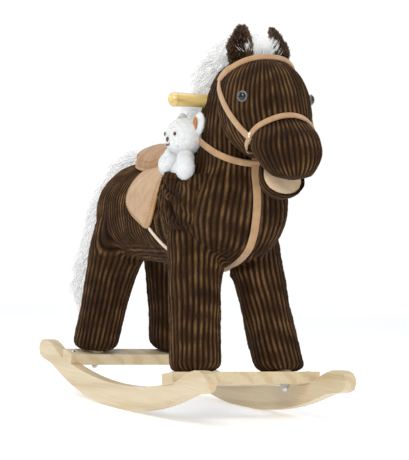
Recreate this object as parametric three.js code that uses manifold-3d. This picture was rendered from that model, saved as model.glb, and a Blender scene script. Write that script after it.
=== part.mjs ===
// A plush rocking horse on two wooden rockers.
// Millimetres, +Z up. The horse faces -Y and its right side is -X. The floor is Z = 0.
import * as THREE from "three";
import { mergeVertices } from "three/addons/utils/BufferGeometryUtils.js";
import Module from "manifold-3d";

// ---------------------------------------------------------------- driving dimensions
const GAP = 0.4; // clearance between neighbouring pieces
const CENTRE_Y = 22; // brings the middle of the object's box over the origin

const ROCKER_LENGTH = 700;
const ROCKER_THICKNESS = 18;
const ROCKER_SPACING = 226; // centre to centre
const ROCKER_RADIUS = 880; // of the rolling edge
const ROCKER_FLAT = 100; // length of the flat under the middle
const ROCKER_DEPTH = 38; // height of the rocker at its middle
const ROCKER_TOP_RADIUS = 1250;
const LOBE_TOP = 84; // height of the rounded end's crown

const SLAT_LENGTH = 245;
const SLAT_WIDTH = 40;
const SLAT_THICKNESS = 18;
const SLAT_Y = 212; // each cross slat's middle, before and behind the centre
const SLAT_Z = 63.5;
const SLAT_TILT = THREE.MathUtils.degToRad(9.5);

const POST_RADIUS = 12.5; // wooden post inside each leg
const BOLT_RADIUS = 3; // M6
const BOLT_X = 72;
const BOLT_IN_POST = 20;
const NUT_ACROSS_CORNERS = 11.5;
const NUT_HEIGHT = 5;
const SCREW_RADIUS = 2.2;
const SCREW_LENGTH = 42;
const SPINE_Z = 292; // underside of the inner spine board
const SPINE_THICKNESS = 20;
const SPINE_WIDTH = 90;
const SPINE_LENGTH = 330;

const HANDLE_RADIUS = 11;
const HANDLE_LENGTH = 222;
const HANDLE_Y = -155;
const HANDLE_Z = 482;

const STRAP_THICKNESS = 2.2;
const BRIDLE_WIDTH = 9.5;
const COLLAR_WIDTH = 10;
const MARTINGALE_WIDTH = 13;
const GIRTH_WIDTH = 7;
const FLAP_THICKNESS = 8;
const EYE_RADIUS = 8;
const JAW_PIN_RADIUS = 2;
const POCKET_THICKNESS = 3;
const POCKET_HEM_Z = 368;
const BEAR_LIFT = 10; // how far the bear slides up before its ears meet the handlebar
const BEAR_LIFT_STEPS = 6;

const COLOURS = {
  pine: [0xead6b0, 0.55, 0],
  varnish: [0xc9a15c, 0.3, 0],
  steel: [0xb9bcc0, 0.3, 1],
  corduroy: [0x3f2a1d, 0.95, 0],
  suede: [0xc99d70, 0.9, 0],
  cream: [0xe6d9bd, 0.85, 0],
  fur: [0xf5f5f3, 0.95, 0],
  lining: [0xdfb489, 0.9, 0],
  eye: [0x14100e, 0.08, 0],
};

// ---------------------------------------------------------------- solids and meshes
const wasm = await Module();
wasm.setup();

const v3 = (x, y, z) => new THREE.Vector3(x, y, z);

// A closed three.js geometry as a manifold-3d solid.
function solid(geometry) {
  const bare = geometry.clone();
  bare.deleteAttribute("normal");
  bare.deleteAttribute("uv");
  const merged = mergeVertices(bare, 1e-4);
  return new wasm.Manifold(
    new wasm.Mesh({
      numProp: 3,
      vertProperties: new Float32Array(merged.attributes.position.array),
      triVerts: new Uint32Array(merged.index.array),
    }),
  );
}

const join = (first, ...rest) => rest.reduce((sum, next) => sum.add(next), first);
const cut = (body, ...tools) => tools.reduce((left, tool) => left.subtract(tool), body);

// The largest of the separate bodies that a cut has left.
function mainBody(body) {
  const bodies = body.decompose();
  bodies.sort((a, b) => b.volume() - a.volume());
  return bodies[0];
}

const horse = new THREE.Group();
horse.position.y = CENTRE_Y;

// Adds a solid to the horse as its own named mesh.
function add(name, body, finish) {
  const mesh = mainBody(body).getMesh();
  const geometry = new THREE.BufferGeometry();
  geometry.setAttribute("position", new THREE.BufferAttribute(mesh.vertProperties, 3));
  geometry.setIndex(new THREE.BufferAttribute(mesh.triVerts, 1));
  geometry.computeVertexNormals();
  const [color, roughness, metalness] = COLOURS[finish];
  const material = new THREE.MeshStandardMaterial({ color, roughness, metalness });
  const piece = new THREE.Mesh(geometry, material);
  piece.name = name;
  horse.add(piece);
}

// ---------------------------------------------------------------- shape builders
// A cylinder whose rows are moved to stations { at, u, v, w, d }: ring centre, the two
// directions of the ring, and its half sizes along them. square > 2 makes the ring boxier.
function loft(stations, sides, square = 2) {
  const geometry = new THREE.CylinderGeometry(1, 1, 1, sides, stations.length - 1);
  const axis = stations[0].at.clone().sub(stations[stations.length - 1].at);
  const hand = Math.sign(stations[0].u.clone().cross(axis).dot(stations[0].v));
  const position = geometry.attributes.position;
  const bend = (value) => Math.sign(value) * Math.abs(value) ** (2 / square);
  for (let i = 0; i < position.count; i++) {
    const row = Math.round((0.5 - position.getY(i)) * (stations.length - 1));
    const ring = stations[row];
    const point = ring.at.clone();
    point.addScaledVector(ring.u, hand * bend(position.getX(i)) * ring.w);
    point.addScaledVector(ring.v, bend(position.getZ(i)) * ring.d);
    position.setXYZ(i, point.x, point.y, point.z);
  }
  return solid(geometry);
}

// The same stations, with their surface moved outwards by a margin.
function grown(stations, by) {
  return stations.map((ring, i) => {
    const before = stations[Math.max(i - 1, 0)];
    const after = stations[Math.min(i + 1, stations.length - 1)];
    const run = after.at.clone().sub(before.at);
    const widening = (after.w + after.d - before.w - before.d) / 2;
    const slant = Math.hypot(run.length(), widening);
    const at = ring.at.clone().addScaledVector(run.clone().normalize(), (-by * widening) / slant);
    const out = (by * run.length()) / slant;
    return { ...ring, at, w: ring.w + out, d: ring.d + out };
  });
}

function between(a, b, radius, sides) {
  const geometry = new THREE.CylinderGeometry(radius, radius, a.distanceTo(b), sides);
  const up = v3(0, 1, 0);
  geometry.applyQuaternion(new THREE.Quaternion().setFromUnitVectors(up, b.clone().sub(a).normalize()));
  const middle = a.clone().add(b).multiplyScalar(0.5);
  return solid(geometry.translate(middle.x, middle.y, middle.z));
}

function block(x, y, z, at, tilt = 0) {
  return solid(new THREE.BoxGeometry(x, y, z).rotateX(tilt).translate(at.x, at.y, at.z));
}

function ball(at, rx, ry, rz, tilt = 0, around = 16, rows = 10) {
  const geometry = new THREE.SphereGeometry(1, around, rows);
  geometry.rotateX(Math.PI / 2).scale(rx, ry, rz).rotateX(tilt);
  return solid(geometry.translate(at.x, at.y, at.z));
}

// A side-view outline of [y, z] points, extruded across X between two planes.
function plate(outline, fromX, toX) {
  const shape = new THREE.Shape(outline.map(([y, z]) => new THREE.Vector2(y, z)));
  const geometry = new THREE.ExtrudeGeometry(shape, { depth: toX - fromX, bevelEnabled: false });
  const toSide = new THREE.Matrix4().makeBasis(v3(0, 1, 0), v3(0, 0, 1), v3(1, 0, 0));
  return solid(geometry.applyMatrix4(toSide).translate(fromX, 0, 0));
}

// ---------------------------------------------------------------- soft body outlines
const X = v3(1, 0, 0);
const Y = v3(0, 1, 0);
const Z = v3(0, 0, 1);

// [y, top z, bottom z, half width] from chest to rump
const TORSO = [
  [-243, 338, 318, 8],
  [-239, 356, 296, 36],
  [-226, 376, 268, 58],
  [-200, 393, 249, 74],
  [-160, 400, 234, 83],
  [-110, 398, 228, 84],
  [-50, 392, 226, 82],
  [10, 389, 226, 82],
  [60, 389, 227, 84],
  [110, 392, 228, 88],
  [160, 389, 230, 90],
  [200, 376, 236, 84],
  [228, 353, 252, 66],
  [241, 330, 276, 40],
  [245, 312, 294, 10],
].map(([y, top, bottom, w]) => {
  return { at: v3(0, y, (top + bottom) / 2), u: X, v: Z, w, d: (top - bottom) / 2 };
});

// [middle y, z, half width, half depth, forward tilt in degrees] from the chest up
const NECK = [
  [-118, 300, 70, 98, 25],
  [-140, 350, 69, 94, 25],
  [-154, 390, 64, 86, 24],
  [-166, 430, 59, 72, 22],
  [-180, 470, 55, 62, 20],
  [-197, 510, 48, 54, 18],
  [-212, 534, 30, 36, 18],
].map(([y, z, w, d, tilt]) => {
  const a = THREE.MathUtils.degToRad(tilt);
  return { at: v3(0, y, z), u: X, v: v3(0, -Math.cos(a), -Math.sin(a)), w, d };
});

const level = (x, y, z, w, d) => ({ at: v3(x, y, z), u: X, v: Y, w, d });

// [z, middle y, half width, half length] from the crown down to the throat
const HEAD = [
  [554, -245, 8, 9],
  [550, -246, 26, 30],
  [540, -247, 42, 50],
  [525, -248, 54, 66],
  [505, -251, 62, 77],
  [480, -256, 65, 84],
  [455, -264, 64, 86],
  [430, -275, 58, 80],
  [410, -287, 46, 64],
  [396, -294, 28, 40],
  [391, -297, 8, 12],
].map(([z, y, w, d]) => level(0, y, z, w, d));

const MUZZLE = [
  [464, -306, 10, 12],
  [458, -311, 26, 28],
  [446, -320, 39, 40],
  [430, -331, 48, 50],
  [410, -339, 51, 53],
  [394, -347, 46, 48],
  [380, -354, 37, 39],
  [370, -359, 26, 28],
  [365, -361, 10, 12],
].map(([z, y, w, d]) => level(0, y, z, w, d));

// [x, y, z, radius] down the right leg
const FRONT_LEG = [
  [44, -122, 300, 42],
  [47, -130, 270, 44],
  [50, -140, 240, 43],
  [55, -154, 200, 40],
  [60, -168, 160, 39],
  [65, -182, 120, 39],
  [69, -195, 84, 38.5],
  [71, -200, 66, 36],
  [71, -201, 54, 30],
];
const HIND_LEG = [
  [42, 160, 300, 50],
  [46, 170, 270, 50],
  [50, 182, 240, 48],
  [55, 197, 200, 42],
  [60, 206, 160, 39],
  [65, 213, 120, 38.5],
  [69, 219, 84, 38],
  [71, 221, 66, 36],
  [71, 222, 54, 30],
];
const leg = (rows, side, by = 0) => {
  return loft(rows.map(([x, y, z, r]) => level(side * x, y, z, r + by, r + by)), 14);
};

const torsoSkin = (by) => loft(grown(TORSO, by), 22, 2.2);
const neckSkin = (by) => loft(grown(NECK, by), 18, 2.1);
const headSkin = (by) => loft(grown(HEAD, by), 20);
const muzzleSkin = (by) => loft(grown(MUZZLE, by), 18);

const torso = torsoSkin(0);
const torsoRoom = torsoSkin(GAP);
const neckRoom = neckSkin(GAP);
const headRoom = headSkin(GAP);
const muzzleRoom = muzzleSkin(GAP);

// ---------------------------------------------------------------- rockers and slats
const SIDES = { right: -1, left: 1 };
const ENDS = { front: -1, rear: 1 };

// The slat's own frame: y and z in the slat's plane and along its normal.
function slatPoint(end, along, up) {
  const y = Math.cos(SLAT_TILT) * along - Math.sin(SLAT_TILT) * up;
  const z = Math.sin(SLAT_TILT) * along + Math.cos(SLAT_TILT) * up;
  return [end * (SLAT_Y + y), SLAT_Z + z];
}
const slatVector = (x, end, along, up) => v3(x, ...slatPoint(end, along, up));

function rockerOutline() {
  const half = [[ROCKER_FLAT / 2, 0]];
  const first = Math.asin(ROCKER_FLAT / 2 / ROCKER_RADIUS);
  const drop = ROCKER_RADIUS * Math.cos(first);
  for (let i = 1; i <= 8; i++) {
    const a = first + (i / 8) * 0.25;
    half.push([ROCKER_RADIUS * Math.sin(a), drop - ROCKER_RADIUS * Math.cos(a)]);
  }
  const lobe = new THREE.CubicBezierCurve(
    new THREE.Vector2(292, 47.5),
    new THREE.Vector2(318, 52),
    new THREE.Vector2(351, 50),
    new THREE.Vector2(ROCKER_LENGTH / 2, 68),
  );
  const crown = new THREE.CubicBezierCurve(
    new THREE.Vector2(ROCKER_LENGTH / 2 - 1, 74),
    new THREE.Vector2(345, LOBE_TOP + 3),
    new THREE.Vector2(312, LOBE_TOP + 4),
    new THREE.Vector2(290, 80),
  );
  const rise = new THREE.QuadraticBezierCurve(
    new THREE.Vector2(272, 73.5),
    new THREE.Vector2(254, 66),
    new THREE.Vector2(240, 61.5),
  );
  [lobe, crown, rise].forEach((curve) => curve.getPoints(4).forEach((p) => half.push([p.x, p.y])));
  for (let i = 6; i >= 1; i--) {
    const y = i * 34.5;
    half.push([y, ROCKER_DEPTH + (y * y) / (2 * ROCKER_TOP_RADIUS)]);
  }
  const mirrored = half.map(([y, z]) => [-y, z]).reverse();
  return [...half, [0, ROCKER_DEPTH], ...mirrored];
}

const slatBody = (end, by) => {
  const [y, z] = slatPoint(end, 0, 0);
  const size = [SLAT_LENGTH + 2 * by, SLAT_WIDTH + 2 * by, SLAT_THICKNESS + 2 * by];
  return block(...size, v3(0, y, z), end * SLAT_TILT);
};

const rocker = (side) => {
  const middle = (side * ROCKER_SPACING) / 2;
  return plate(rockerOutline(), middle - ROCKER_THICKNESS / 2, middle + ROCKER_THICKNESS / 2);
};

function screwParts(side, end) {
  const x = (side * ROCKER_SPACING) / 2;
  const top = SLAT_THICKNESS / 2;
  const shank = (by) => {
    const tip = slatVector(x, end, 0, top - SCREW_LENGTH - by);
    return between(tip, slatVector(x, end, 0, top + 1), SCREW_RADIUS + by, 8);
  };
  const head = between(slatVector(x, end, 0, top + GAP), slatVector(x, end, 0, top + 3), 4.5, 8);
  return { body: join(shank(0), head), hole: shank(GAP) };
}

for (const [sideName, side] of Object.entries(SIDES)) {
  const screws = Object.values(ENDS).map((end) => screwParts(side, end).hole);
  const slats = Object.values(ENDS).map((end) => slatBody(end, GAP));
  add(`${sideName}_rocker`, cut(rocker(side), ...slats, ...screws), "pine");
}

// ---------------------------------------------------------------- inner frame and leg bolts
const POSTS = {};
const HARDWARE = {};
for (const [endName, end] of Object.entries(ENDS)) {
  for (const [sideName, side] of Object.entries(SIDES)) {
    const rows = end < 0 ? FRONT_LEG : HIND_LEG;
    const [topX, topY] = rows[0];
    const head = v3(side * topX, topY, SPINE_Z);
    const foot = slatVector(side * BOLT_X, end, 0, SLAT_THICKNESS / 2);
    const line = foot.clone().sub(head).normalize();
    const past = foot.clone().addScaledVector(line, 12);
    const above = head.clone().addScaledVector(line, -14);
    const under = slatPoint(end, 0, -40 + SLAT_THICKNESS / 2 + GAP);
    const below = block(400, 300, 80, v3(0, ...under), end * SLAT_TILT);
    const over = block(300, 700, 80, v3(0, 0, SPINE_Z + 40 - GAP));
    const post = (by) => between(above, past, POST_RADIUS + by, 8);
    const boltTop = SLAT_THICKNESS / 2 + BOLT_IN_POST;
    const boltFoot = -SLAT_THICKNESS / 2 - NUT_HEIGHT - 2;
    const bolt = (by) => {
      const low = slatVector(side * BOLT_X, end, 0, boltFoot - by);
      return between(low, slatVector(side * BOLT_X, end, 0, boltTop + by), BOLT_RADIUS + by, 8);
    };
    const nutTop = -SLAT_THICKNESS / 2 - GAP;
    const nutEnds = [nutTop, nutTop - NUT_HEIGHT].map((up) => slatVector(side * BOLT_X, end, 0, up));
    const nut = between(...nutEnds, NUT_ACROSS_CORNERS / 2, 6);
    const dome = ball(nutEnds[1], 4.6, 4.6, 4.6, 0, 8, 4);
    const key = `${endName}_${sideName}`;
    POSTS[key] = { body: cut(post(0), below, over, bolt(GAP)), room: cut(post(GAP), below), below };
    HARDWARE[key] = { bolt: bolt(0), hole: bolt(GAP), nut: cut(join(nut, dome), bolt(GAP / 2)) };
  }
}

for (const [endName, end] of Object.entries(ENDS)) {
  const holes = Object.keys(SIDES).map((side) => HARDWARE[`${endName}_${side}`].hole);
  const screws = Object.values(SIDES).map((side) => screwParts(side, end).hole);
  add(`${endName}_slat`, cut(slatBody(end, 0), ...holes, ...screws), "pine");
  for (const [sideName, side] of Object.entries(SIDES)) {
    const key = `${endName}_${sideName}`;
    add(`${key}_slat_screw`, screwParts(side, end).body, "steel");
    add(`${key}_leg_bolt`, HARDWARE[key].bolt, "steel");
    add(`${key}_cap_nut`, HARDWARE[key].nut, "steel");
    add(`${key}_leg_post`, POSTS[key].body, "pine");
  }
}

const spine = (by) => {
  const size = [SPINE_WIDTH + 2 * by, SPINE_LENGTH + 2 * by, SPINE_THICKNESS + 2 * by];
  return block(...size, v3(0, 20, SPINE_Z + SPINE_THICKNESS / 2));
};
const neckPost = (by) => {
  const lean = THREE.MathUtils.degToRad(21);
  const size = [36 + 2 * by, 24 + 2 * by, 210 + by];
  return block(...size, v3(0, -160, 422), lean);
};
const overSpine = block(200, 500, 60, v3(0, 0, SPINE_Z + SPINE_THICKNESS + GAP - 30));
const handle = (by) => {
  const half = HANDLE_LENGTH / 2 + by;
  const bar = new THREE.CapsuleGeometry(HANDLE_RADIUS + by, 2 * half - 2 * HANDLE_RADIUS, 3, 12);
  return solid(bar.rotateZ(Math.PI / 2).translate(0, HANDLE_Y, HANDLE_Z));
};
add("spine_board", spine(0), "pine");
add("neck_post", cut(neckPost(0), overSpine, handle(GAP)), "pine");
add("handlebar", handle(0), "varnish");

const frameRoom = join(
  spine(GAP),
  neckPost(GAP),
  ...Object.values(POSTS).map((post) => post.room),
);

// ---------------------------------------------------------------- lower jaw
// The jaw's mouth face is a plane that leans forwards as it goes down.
const MOUTH_LEAN = THREE.MathUtils.degToRad(27);
const MOUTH_FACE = 12; // from the jaw's middle out to its mouth face
const LINING_THICKNESS = 3;
const JAW_STEPS = [-4, 3, 10, 16]; // degrees closed from the rest pose that the pocket clears
const jawPin = v3(0, -312, 394);
const jawMiddle = v3(0, -320, 361);
const mouthCentre = (depth) => {
  const normal = v3(0, -Math.cos(MOUTH_LEAN), Math.sin(MOUTH_LEAN));
  return jawMiddle.clone().addScaledVector(normal, MOUTH_FACE + depth);
};
const mouthFace = (by) => block(200, 80, 200, mouthCentre(by + 40), -MOUTH_LEAN);
const jawBall = (by) => ball(jawMiddle, 35 + by, 33 + by, 29 + by, -MOUTH_LEAN, 16, 10);
const pinBar = (half, radius) => between(v3(-half, jawPin.y, jawPin.z), v3(half, jawPin.y, jawPin.z), radius, 10);
const liningBack = (by) => block(200, 80, 200, mouthCentre(-LINING_THICKNESS - by - 40), -MOUTH_LEAN);
const lining = (by) => cut(jawBall(by - 4), mouthFace(by), liningBack(by));
const jaw = (by) => {
  const lobe = join(jawBall(by), pinBar(18 + by, 10 + by));
  return cut(lobe, mouthFace(by));
};
const jawSweep = join(
  ...JAW_STEPS.map((degrees) => {
    const turned = jaw(1.2).translate([0, -jawPin.y, -jawPin.z]);
    return turned.rotate([-degrees, 0, 0]).translate([0, jawPin.y, jawPin.z]);
  }),
);

// ---------------------------------------------------------------- plush body
const LEGS = { front: FRONT_LEG, rear: HIND_LEG };
const legRooms = Object.values(LEGS).flatMap((rows) => {
  return Object.values(SIDES).map((side) => leg(rows, side, GAP));
});
add("torso_cover", cut(torso, frameRoom), "corduroy");
add("neck_cover", cut(neckSkin(0), torsoRoom, headRoom, frameRoom, handle(GAP)), "corduroy");
add("head_cover", cut(headSkin(0), frameRoom, muzzleRoom, jawSweep), "corduroy");
add("muzzle_cover", cut(muzzleSkin(0), jawSweep, pinBar(27 + GAP, JAW_PIN_RADIUS + GAP)), "corduroy");
add("jaw_pin", pinBar(27, JAW_PIN_RADIUS), "steel");
add("lower_jaw", cut(jaw(0), lining(GAP), pinBar(40, JAW_PIN_RADIUS + GAP)), "corduroy");
add("mouth_lining", lining(0), "lining");
for (const [endName, rows] of Object.entries(LEGS)) {
  for (const [sideName, side] of Object.entries(SIDES)) {
    const post = POSTS[`${endName}_${sideName}`];
    const body = cut(leg(rows, side), torsoRoom, neckRoom, post.room, post.below);
    add(`${endName}_${sideName}_leg_cover`, body, "corduroy");
  }
}

// ---------------------------------------------------------------- ears and eyes
// [x, y, z, half width, half thickness] from the root of the right ear to its tip
const EAR = [
  [-34, -240, 528, 11, 7],
  [-34, -239, 545, 15, 8],
  [-35, -236, 560, 17.5, 7.5],
  [-35, -231, 575, 16, 6.5],
  [-33, -226, 588, 10, 5],
  [-31, -223, 597, 3, 2],
];
const EAR_TURN = THREE.MathUtils.degToRad(18);
const ear = (side, by) => {
  const rings = EAR.map(([x, y, z, w, d]) => {
    const across = v3(Math.cos(EAR_TURN), side * Math.sin(EAR_TURN), 0);
    return { at: v3(-side * x, y, z), u: across, v: across.clone().cross(Z), w: w + by, d: d + by };
  });
  return loft(rings, 12);
};
for (const [sideName, side] of Object.entries(SIDES)) {
  add(`${sideName}_ear`, cut(ear(side, 0), headRoom), "corduroy");
  const eye = ball(v3(side * 55, -297, 489), EYE_RADIUS, EYE_RADIUS, EYE_RADIUS, 0, 10, 6);
  add(`${sideName}_eye`, cut(eye, headRoom), "eye");
}

// ---------------------------------------------------------------- saddle
const seatBody = (by) => ball(v3(0, 62, 384), 68 + by, 96 + by, 34 + by, 0, 18, 10);
const FLAP = [
  [46, 384],
  [60, 358],
  [61, 328],
  [42, 309],
  [10, 295],
  [-22, 286],
  [-45, 305],
  [-55, 335],
  [-44, 366],
  [-34, 384],
];
const flapCurve = new THREE.CatmullRomCurve3(FLAP.map(([y, z]) => v3(y, z, 0)), true);
const flapOutline = flapCurve.getPoints(18).slice(0, -1).map((p) => [p.x, p.y]);
add("saddle_seat", cut(seatBody(0), torsoRoom), "suede");

// ---------------------------------------------------------------- teddy bear and its pocket
const bearMiddle = v3(-78, -142, 427);
const fromBear = (x, y, z) => v3(x, y, z).add(bearMiddle);
const bearShifts = Array.from({ length: BEAR_LIFT_STEPS + 1 }, (_, i) => {
  return [0, 0, (i / BEAR_LIFT_STEPS) * BEAR_LIFT];
});
const bearHead = (by) => {
  const skull = ball(bearMiddle, 28 + by, 29 + by, 28 + by, 0, 12, 8);
  const snout = ball(fromBear(-21, -5, -6), 11 + by, 13 + by, 10 + by, 0, 8, 6);
  const ears = [-1, 1].map((lateral) => {
    return ball(fromBear(7, lateral * 25, 18), 7 + by, 12 + by, 14 + by, lateral * 0.35, 8, 6);
  });
  return join(skull, snout, ...ears);
};
const bearBody = (by) => ball(v3(-74, -134, 350), 23 + by, 30 + by, 46 + by, 0, 12, 8);
const bearArms = (by) => ({
  left: ball(v3(-88, -168, 381), 14 + by, 15 + by, 19 + by, 0, 10, 6),
  right: ball(v3(-92, -114, 388), 13 + by, 12 + by, 21 + by, 0, 10, 6),
});
const bearRoom = join(bearHead(1), bearBody(1), ...Object.values(bearArms(1)));
const bearSweep = join(...bearShifts.map((shift) => bearRoom.translate(shift)));
const bodyRooms = [torsoRoom, neckRoom, ...legRooms];
add("bear_head", cut(bearHead(0), neckRoom, headRoom, bearBody(GAP)), "fur");
add("bear_body", cut(bearBody(0), ...bodyRooms), "fur");
for (const [sideName, body] of Object.entries(bearArms(0))) {
  add(`bear_${sideName}_arm`, cut(body, bearBody(GAP), bearHead(GAP), ...bodyRooms), "fur");
}

// An open pouch on the right shoulder, with the bear's body inside and its arms over the hem.
const pouch = (by) => ball(v3(-70, -136, 328), 35 + by, 58 + by, 60 + by, 0, 20, 12);
const overHem = block(300, 300, 200, v3(-70, -136, POCKET_HEM_Z + 100));
const pocket = cut(pouch(0), pouch(-POCKET_THICKNESS), overHem, bearSweep, ...bodyRooms);
add("shoulder_pocket", pocket, "corduroy");

// ---------------------------------------------------------------- saddle flaps
const flapShell = cut(torsoSkin(GAP + FLAP_THICKNESS), torsoRoom, seatBody(GAP));
const flapRooms = [];
for (const [sideName, side] of Object.entries(SIDES)) {
  const column = plate(flapOutline, side < 0 ? -130 : 30, side < 0 ? -30 : 130);
  const flap = cut(column.intersect(flapShell), bearSweep);
  flapRooms.push(plate(flapOutline.map(([y, z]) => [y, z - 2]), -130, 130));
  add(`${sideName}_saddle_flap`, flap, "suede");
}

// ---------------------------------------------------------------- straps
const shellOf = (skins, inner, outer) => {
  const [out, room] = [outer, inner].map((by) => join(...skins.map((skin) => skin(by))));
  return cut(out, room);
};
const STRAP = GAP + STRAP_THICKNESS;
const faceShell = cut(shellOf([headSkin, muzzleSkin, neckSkin], GAP, STRAP), jawSweep);

// A flat slice across the body: passes through [y, z], runs along [dy, dz], and is width thick.
function slice([y, z], [dy, dz], width, length = 700) {
  const box = new THREE.BoxGeometry(400, length, width);
  return solid(box.rotateX(Math.atan2(dz, dy)).translate(0, y, z));
}
const region = (fromX, toX, fromY, toY, fromZ, toZ) => {
  const size = [toX - fromX, toY - fromY, toZ - fromZ];
  return block(...size, v3((fromX + toX) / 2, (fromY + toY) / 2, (fromZ + toZ) / 2));
};

const CHEEK_TOP = [-222, 511];
const CHEEK_FOOT = [-318, 424];
const cheekRun = [CHEEK_TOP[0] - CHEEK_FOOT[0], CHEEK_TOP[1] - CHEEK_FOOT[1]];
const cheekSlice = (width) => slice(CHEEK_FOOT, cheekRun, width);
const noseSlice = (width) => slice([-334, 440], [-1, 1], width);
const browSlice = (width) => slice([-240, 532], [-35, 43], width);
const crownSlice = (width) => slice([-214, 530], [0.1, 1], width);
const wide = BRIDLE_WIDTH + 2 * GAP;

const noseband = faceShell.intersect(noseSlice(BRIDLE_WIDTH)).intersect(region(-90, 90, -400, -315, 421, 500));
const chinStrap = faceShell.intersect(noseSlice(BRIDLE_WIDTH)).intersect(region(-90, 90, -330, -240, 350, 420));
add("noseband", noseband, "suede");
add("chin_strap", chinStrap, "suede");
const browband = faceShell.intersect(browSlice(BRIDLE_WIDTH)).intersect(region(-90, 90, -300, -190, 508, 600));
const earRooms = Object.values(SIDES).map((side) => ear(side, GAP));
add("browband", cut(browband, ...earRooms), "suede");
const crownpiece = faceShell.intersect(crownSlice(BRIDLE_WIDTH)).intersect(region(-90, 90, -300, -150, 508, 600));
add("crownpiece", cut(crownpiece, browSlice(wide), ...earRooms), "suede");
for (const [sideName, side] of Object.entries(SIDES)) {
  const half = side < 0 ? region(-90, -20, -316, -216, 400, 520) : region(20, 90, -316, -216, 400, 520);
  const strap = faceShell.intersect(cheekSlice(BRIDLE_WIDTH)).intersect(half);
  add(`${sideName}_cheek_strap`, cut(strap, noseSlice(wide), browSlice(wide), crownSlice(wide)), "suede");
}

const chestShell = shellOf([torsoSkin, neckSkin], GAP, STRAP);
const collarSlice = (width) => slice([-244, 384], [1, 0.485], width);
const collar = chestShell.intersect(collarSlice(COLLAR_WIDTH));
add("collar_strap", cut(collar, bearSweep, handle(GAP), headRoom), "suede");
const martingaleStrip = region(-MARTINGALE_WIDTH / 2, MARTINGALE_WIDTH / 2, -300, -112, 200, 381);
const martingale = cut(chestShell.intersect(martingaleStrip), collarSlice(COLLAR_WIDTH + 2 * GAP), ...legRooms);
const girthSlice = (width) => slice([-22, 288], [1, 0.712], width);
const girth = chestShell.intersect(girthSlice(GIRTH_WIDTH)).intersect(region(-120, 120, -300, 10, 180, 300));
add("girth_strap", cut(girth, ...flapRooms, ...legRooms), "cream");
add("martingale_strap", cut(martingale, girthSlice(GIRTH_WIDTH + 2 * GAP)), "suede");

// ---------------------------------------------------------------- fur
const MANE = [
  [578, -188, 10, 14],
  [570, -180, 26, 30],
  [552, -150, 40, 48],
  [520, -128, 47, 60],
  [500, -118, 48, 60],
  [475, -93, 47, 58],
  [445, -76, 42, 52],
  [418, -66, 34, 42],
  [404, -62, 20, 26],
].map(([z, y, w, d]) => level(0, y, z, w, d));
const crownRoom = shellOf([headSkin, neckSkin], 0, STRAP + GAP).intersect(crownSlice(wide));
const collarRoom = shellOf([neckSkin], 0, STRAP + GAP).intersect(collarSlice(COLLAR_WIDTH + 2 * GAP));
const maneTools = [neckRoom, headRoom, torsoRoom, bearSweep, handle(1), crownRoom, collarRoom, ...earRooms];
add("mane", cut(loft(MANE, 14), ...maneTools), "fur");
const browRoom = shellOf([headSkin], 0, STRAP + GAP).intersect(browSlice(wide));
const tuft = ball(v3(0, -238, 560), 21, 19, 24, 0, 10, 6);
add("forelock", cut(tuft, headRoom, browRoom, crownRoom, ...earRooms), "fur");

const TAIL_STEPS = [-10, 0, 10, 20, 30]; // degrees the body turns, seen from the swinging tail
// [x, y, z, radius] along the tail from its root
const TAIL = [
  [0, 166, 400, 5],
  [0, 178, 402, 14],
  [0, 206, 397, 22],
  [-4, 240, 382, 27],
  [-9, 266, 354, 31],
  [-18, 285, 318, 34],
  [-28, 290, 275, 37],
  [-38, 290, 232, 38],
  [-45, 289, 190, 37],
  [-49, 288, 155, 32],
  [-50, 287, 128, 20],
  [-50, 286, 116, 6],
];
const tailRings = TAIL.map(([x, y, z, radius], i) => {
  const at = v3(x, y, z);
  const next = TAIL[Math.min(i + 1, TAIL.length - 1)];
  const last = TAIL[Math.max(i - 1, 0)];
  const run = v3(next[0] - last[0], next[1] - last[1], next[2] - last[2]).normalize();
  const out = X.clone().cross(run).normalize();
  return { at, u: out.clone().cross(run).normalize(), v: out, w: radius, d: radius };
});
// The rump and hind legs as the tail meets them over its swing from side to side.
const tailRoot = v3(0, 190, 398);
const rump = join(torsoSkin(1.2), ...Object.values(SIDES).map((side) => leg(HIND_LEG, side, 2)));
const tailTools = TAIL_STEPS.map((degrees) => {
  const moved = rump.translate([-tailRoot.x, -tailRoot.y, -tailRoot.z]).rotate([0, degrees, 0]);
  return moved.translate([tailRoot.x, tailRoot.y, tailRoot.z]);
});
add("tail", cut(loft(tailRings, 12), ...tailTools), "fur");

// ---------------------------------------------------------------- bridle rivets
for (const [sideName, side] of Object.entries(SIDES)) {
  const inner = v3(side * 42, CHEEK_FOOT[0], CHEEK_FOOT[1]);
  const rivet = between(inner, v3(side * 56, -326, 424), 4, 12);
  add(`${sideName}_bridle_rivet`, cut(rivet, headSkin(STRAP + GAP), muzzleSkin(STRAP + GAP)), "steel");
}

export default horse;
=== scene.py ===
"""A plush rocking horse: soft ribbed body, long white pile, suede tack and pine rockers."""

import math

import bmesh
import bpy
import numpy as np
from mathutils import Matrix, Vector
from mathutils.bvhtree import BVHTree
from mathutils.kdtree import KDTree


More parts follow.
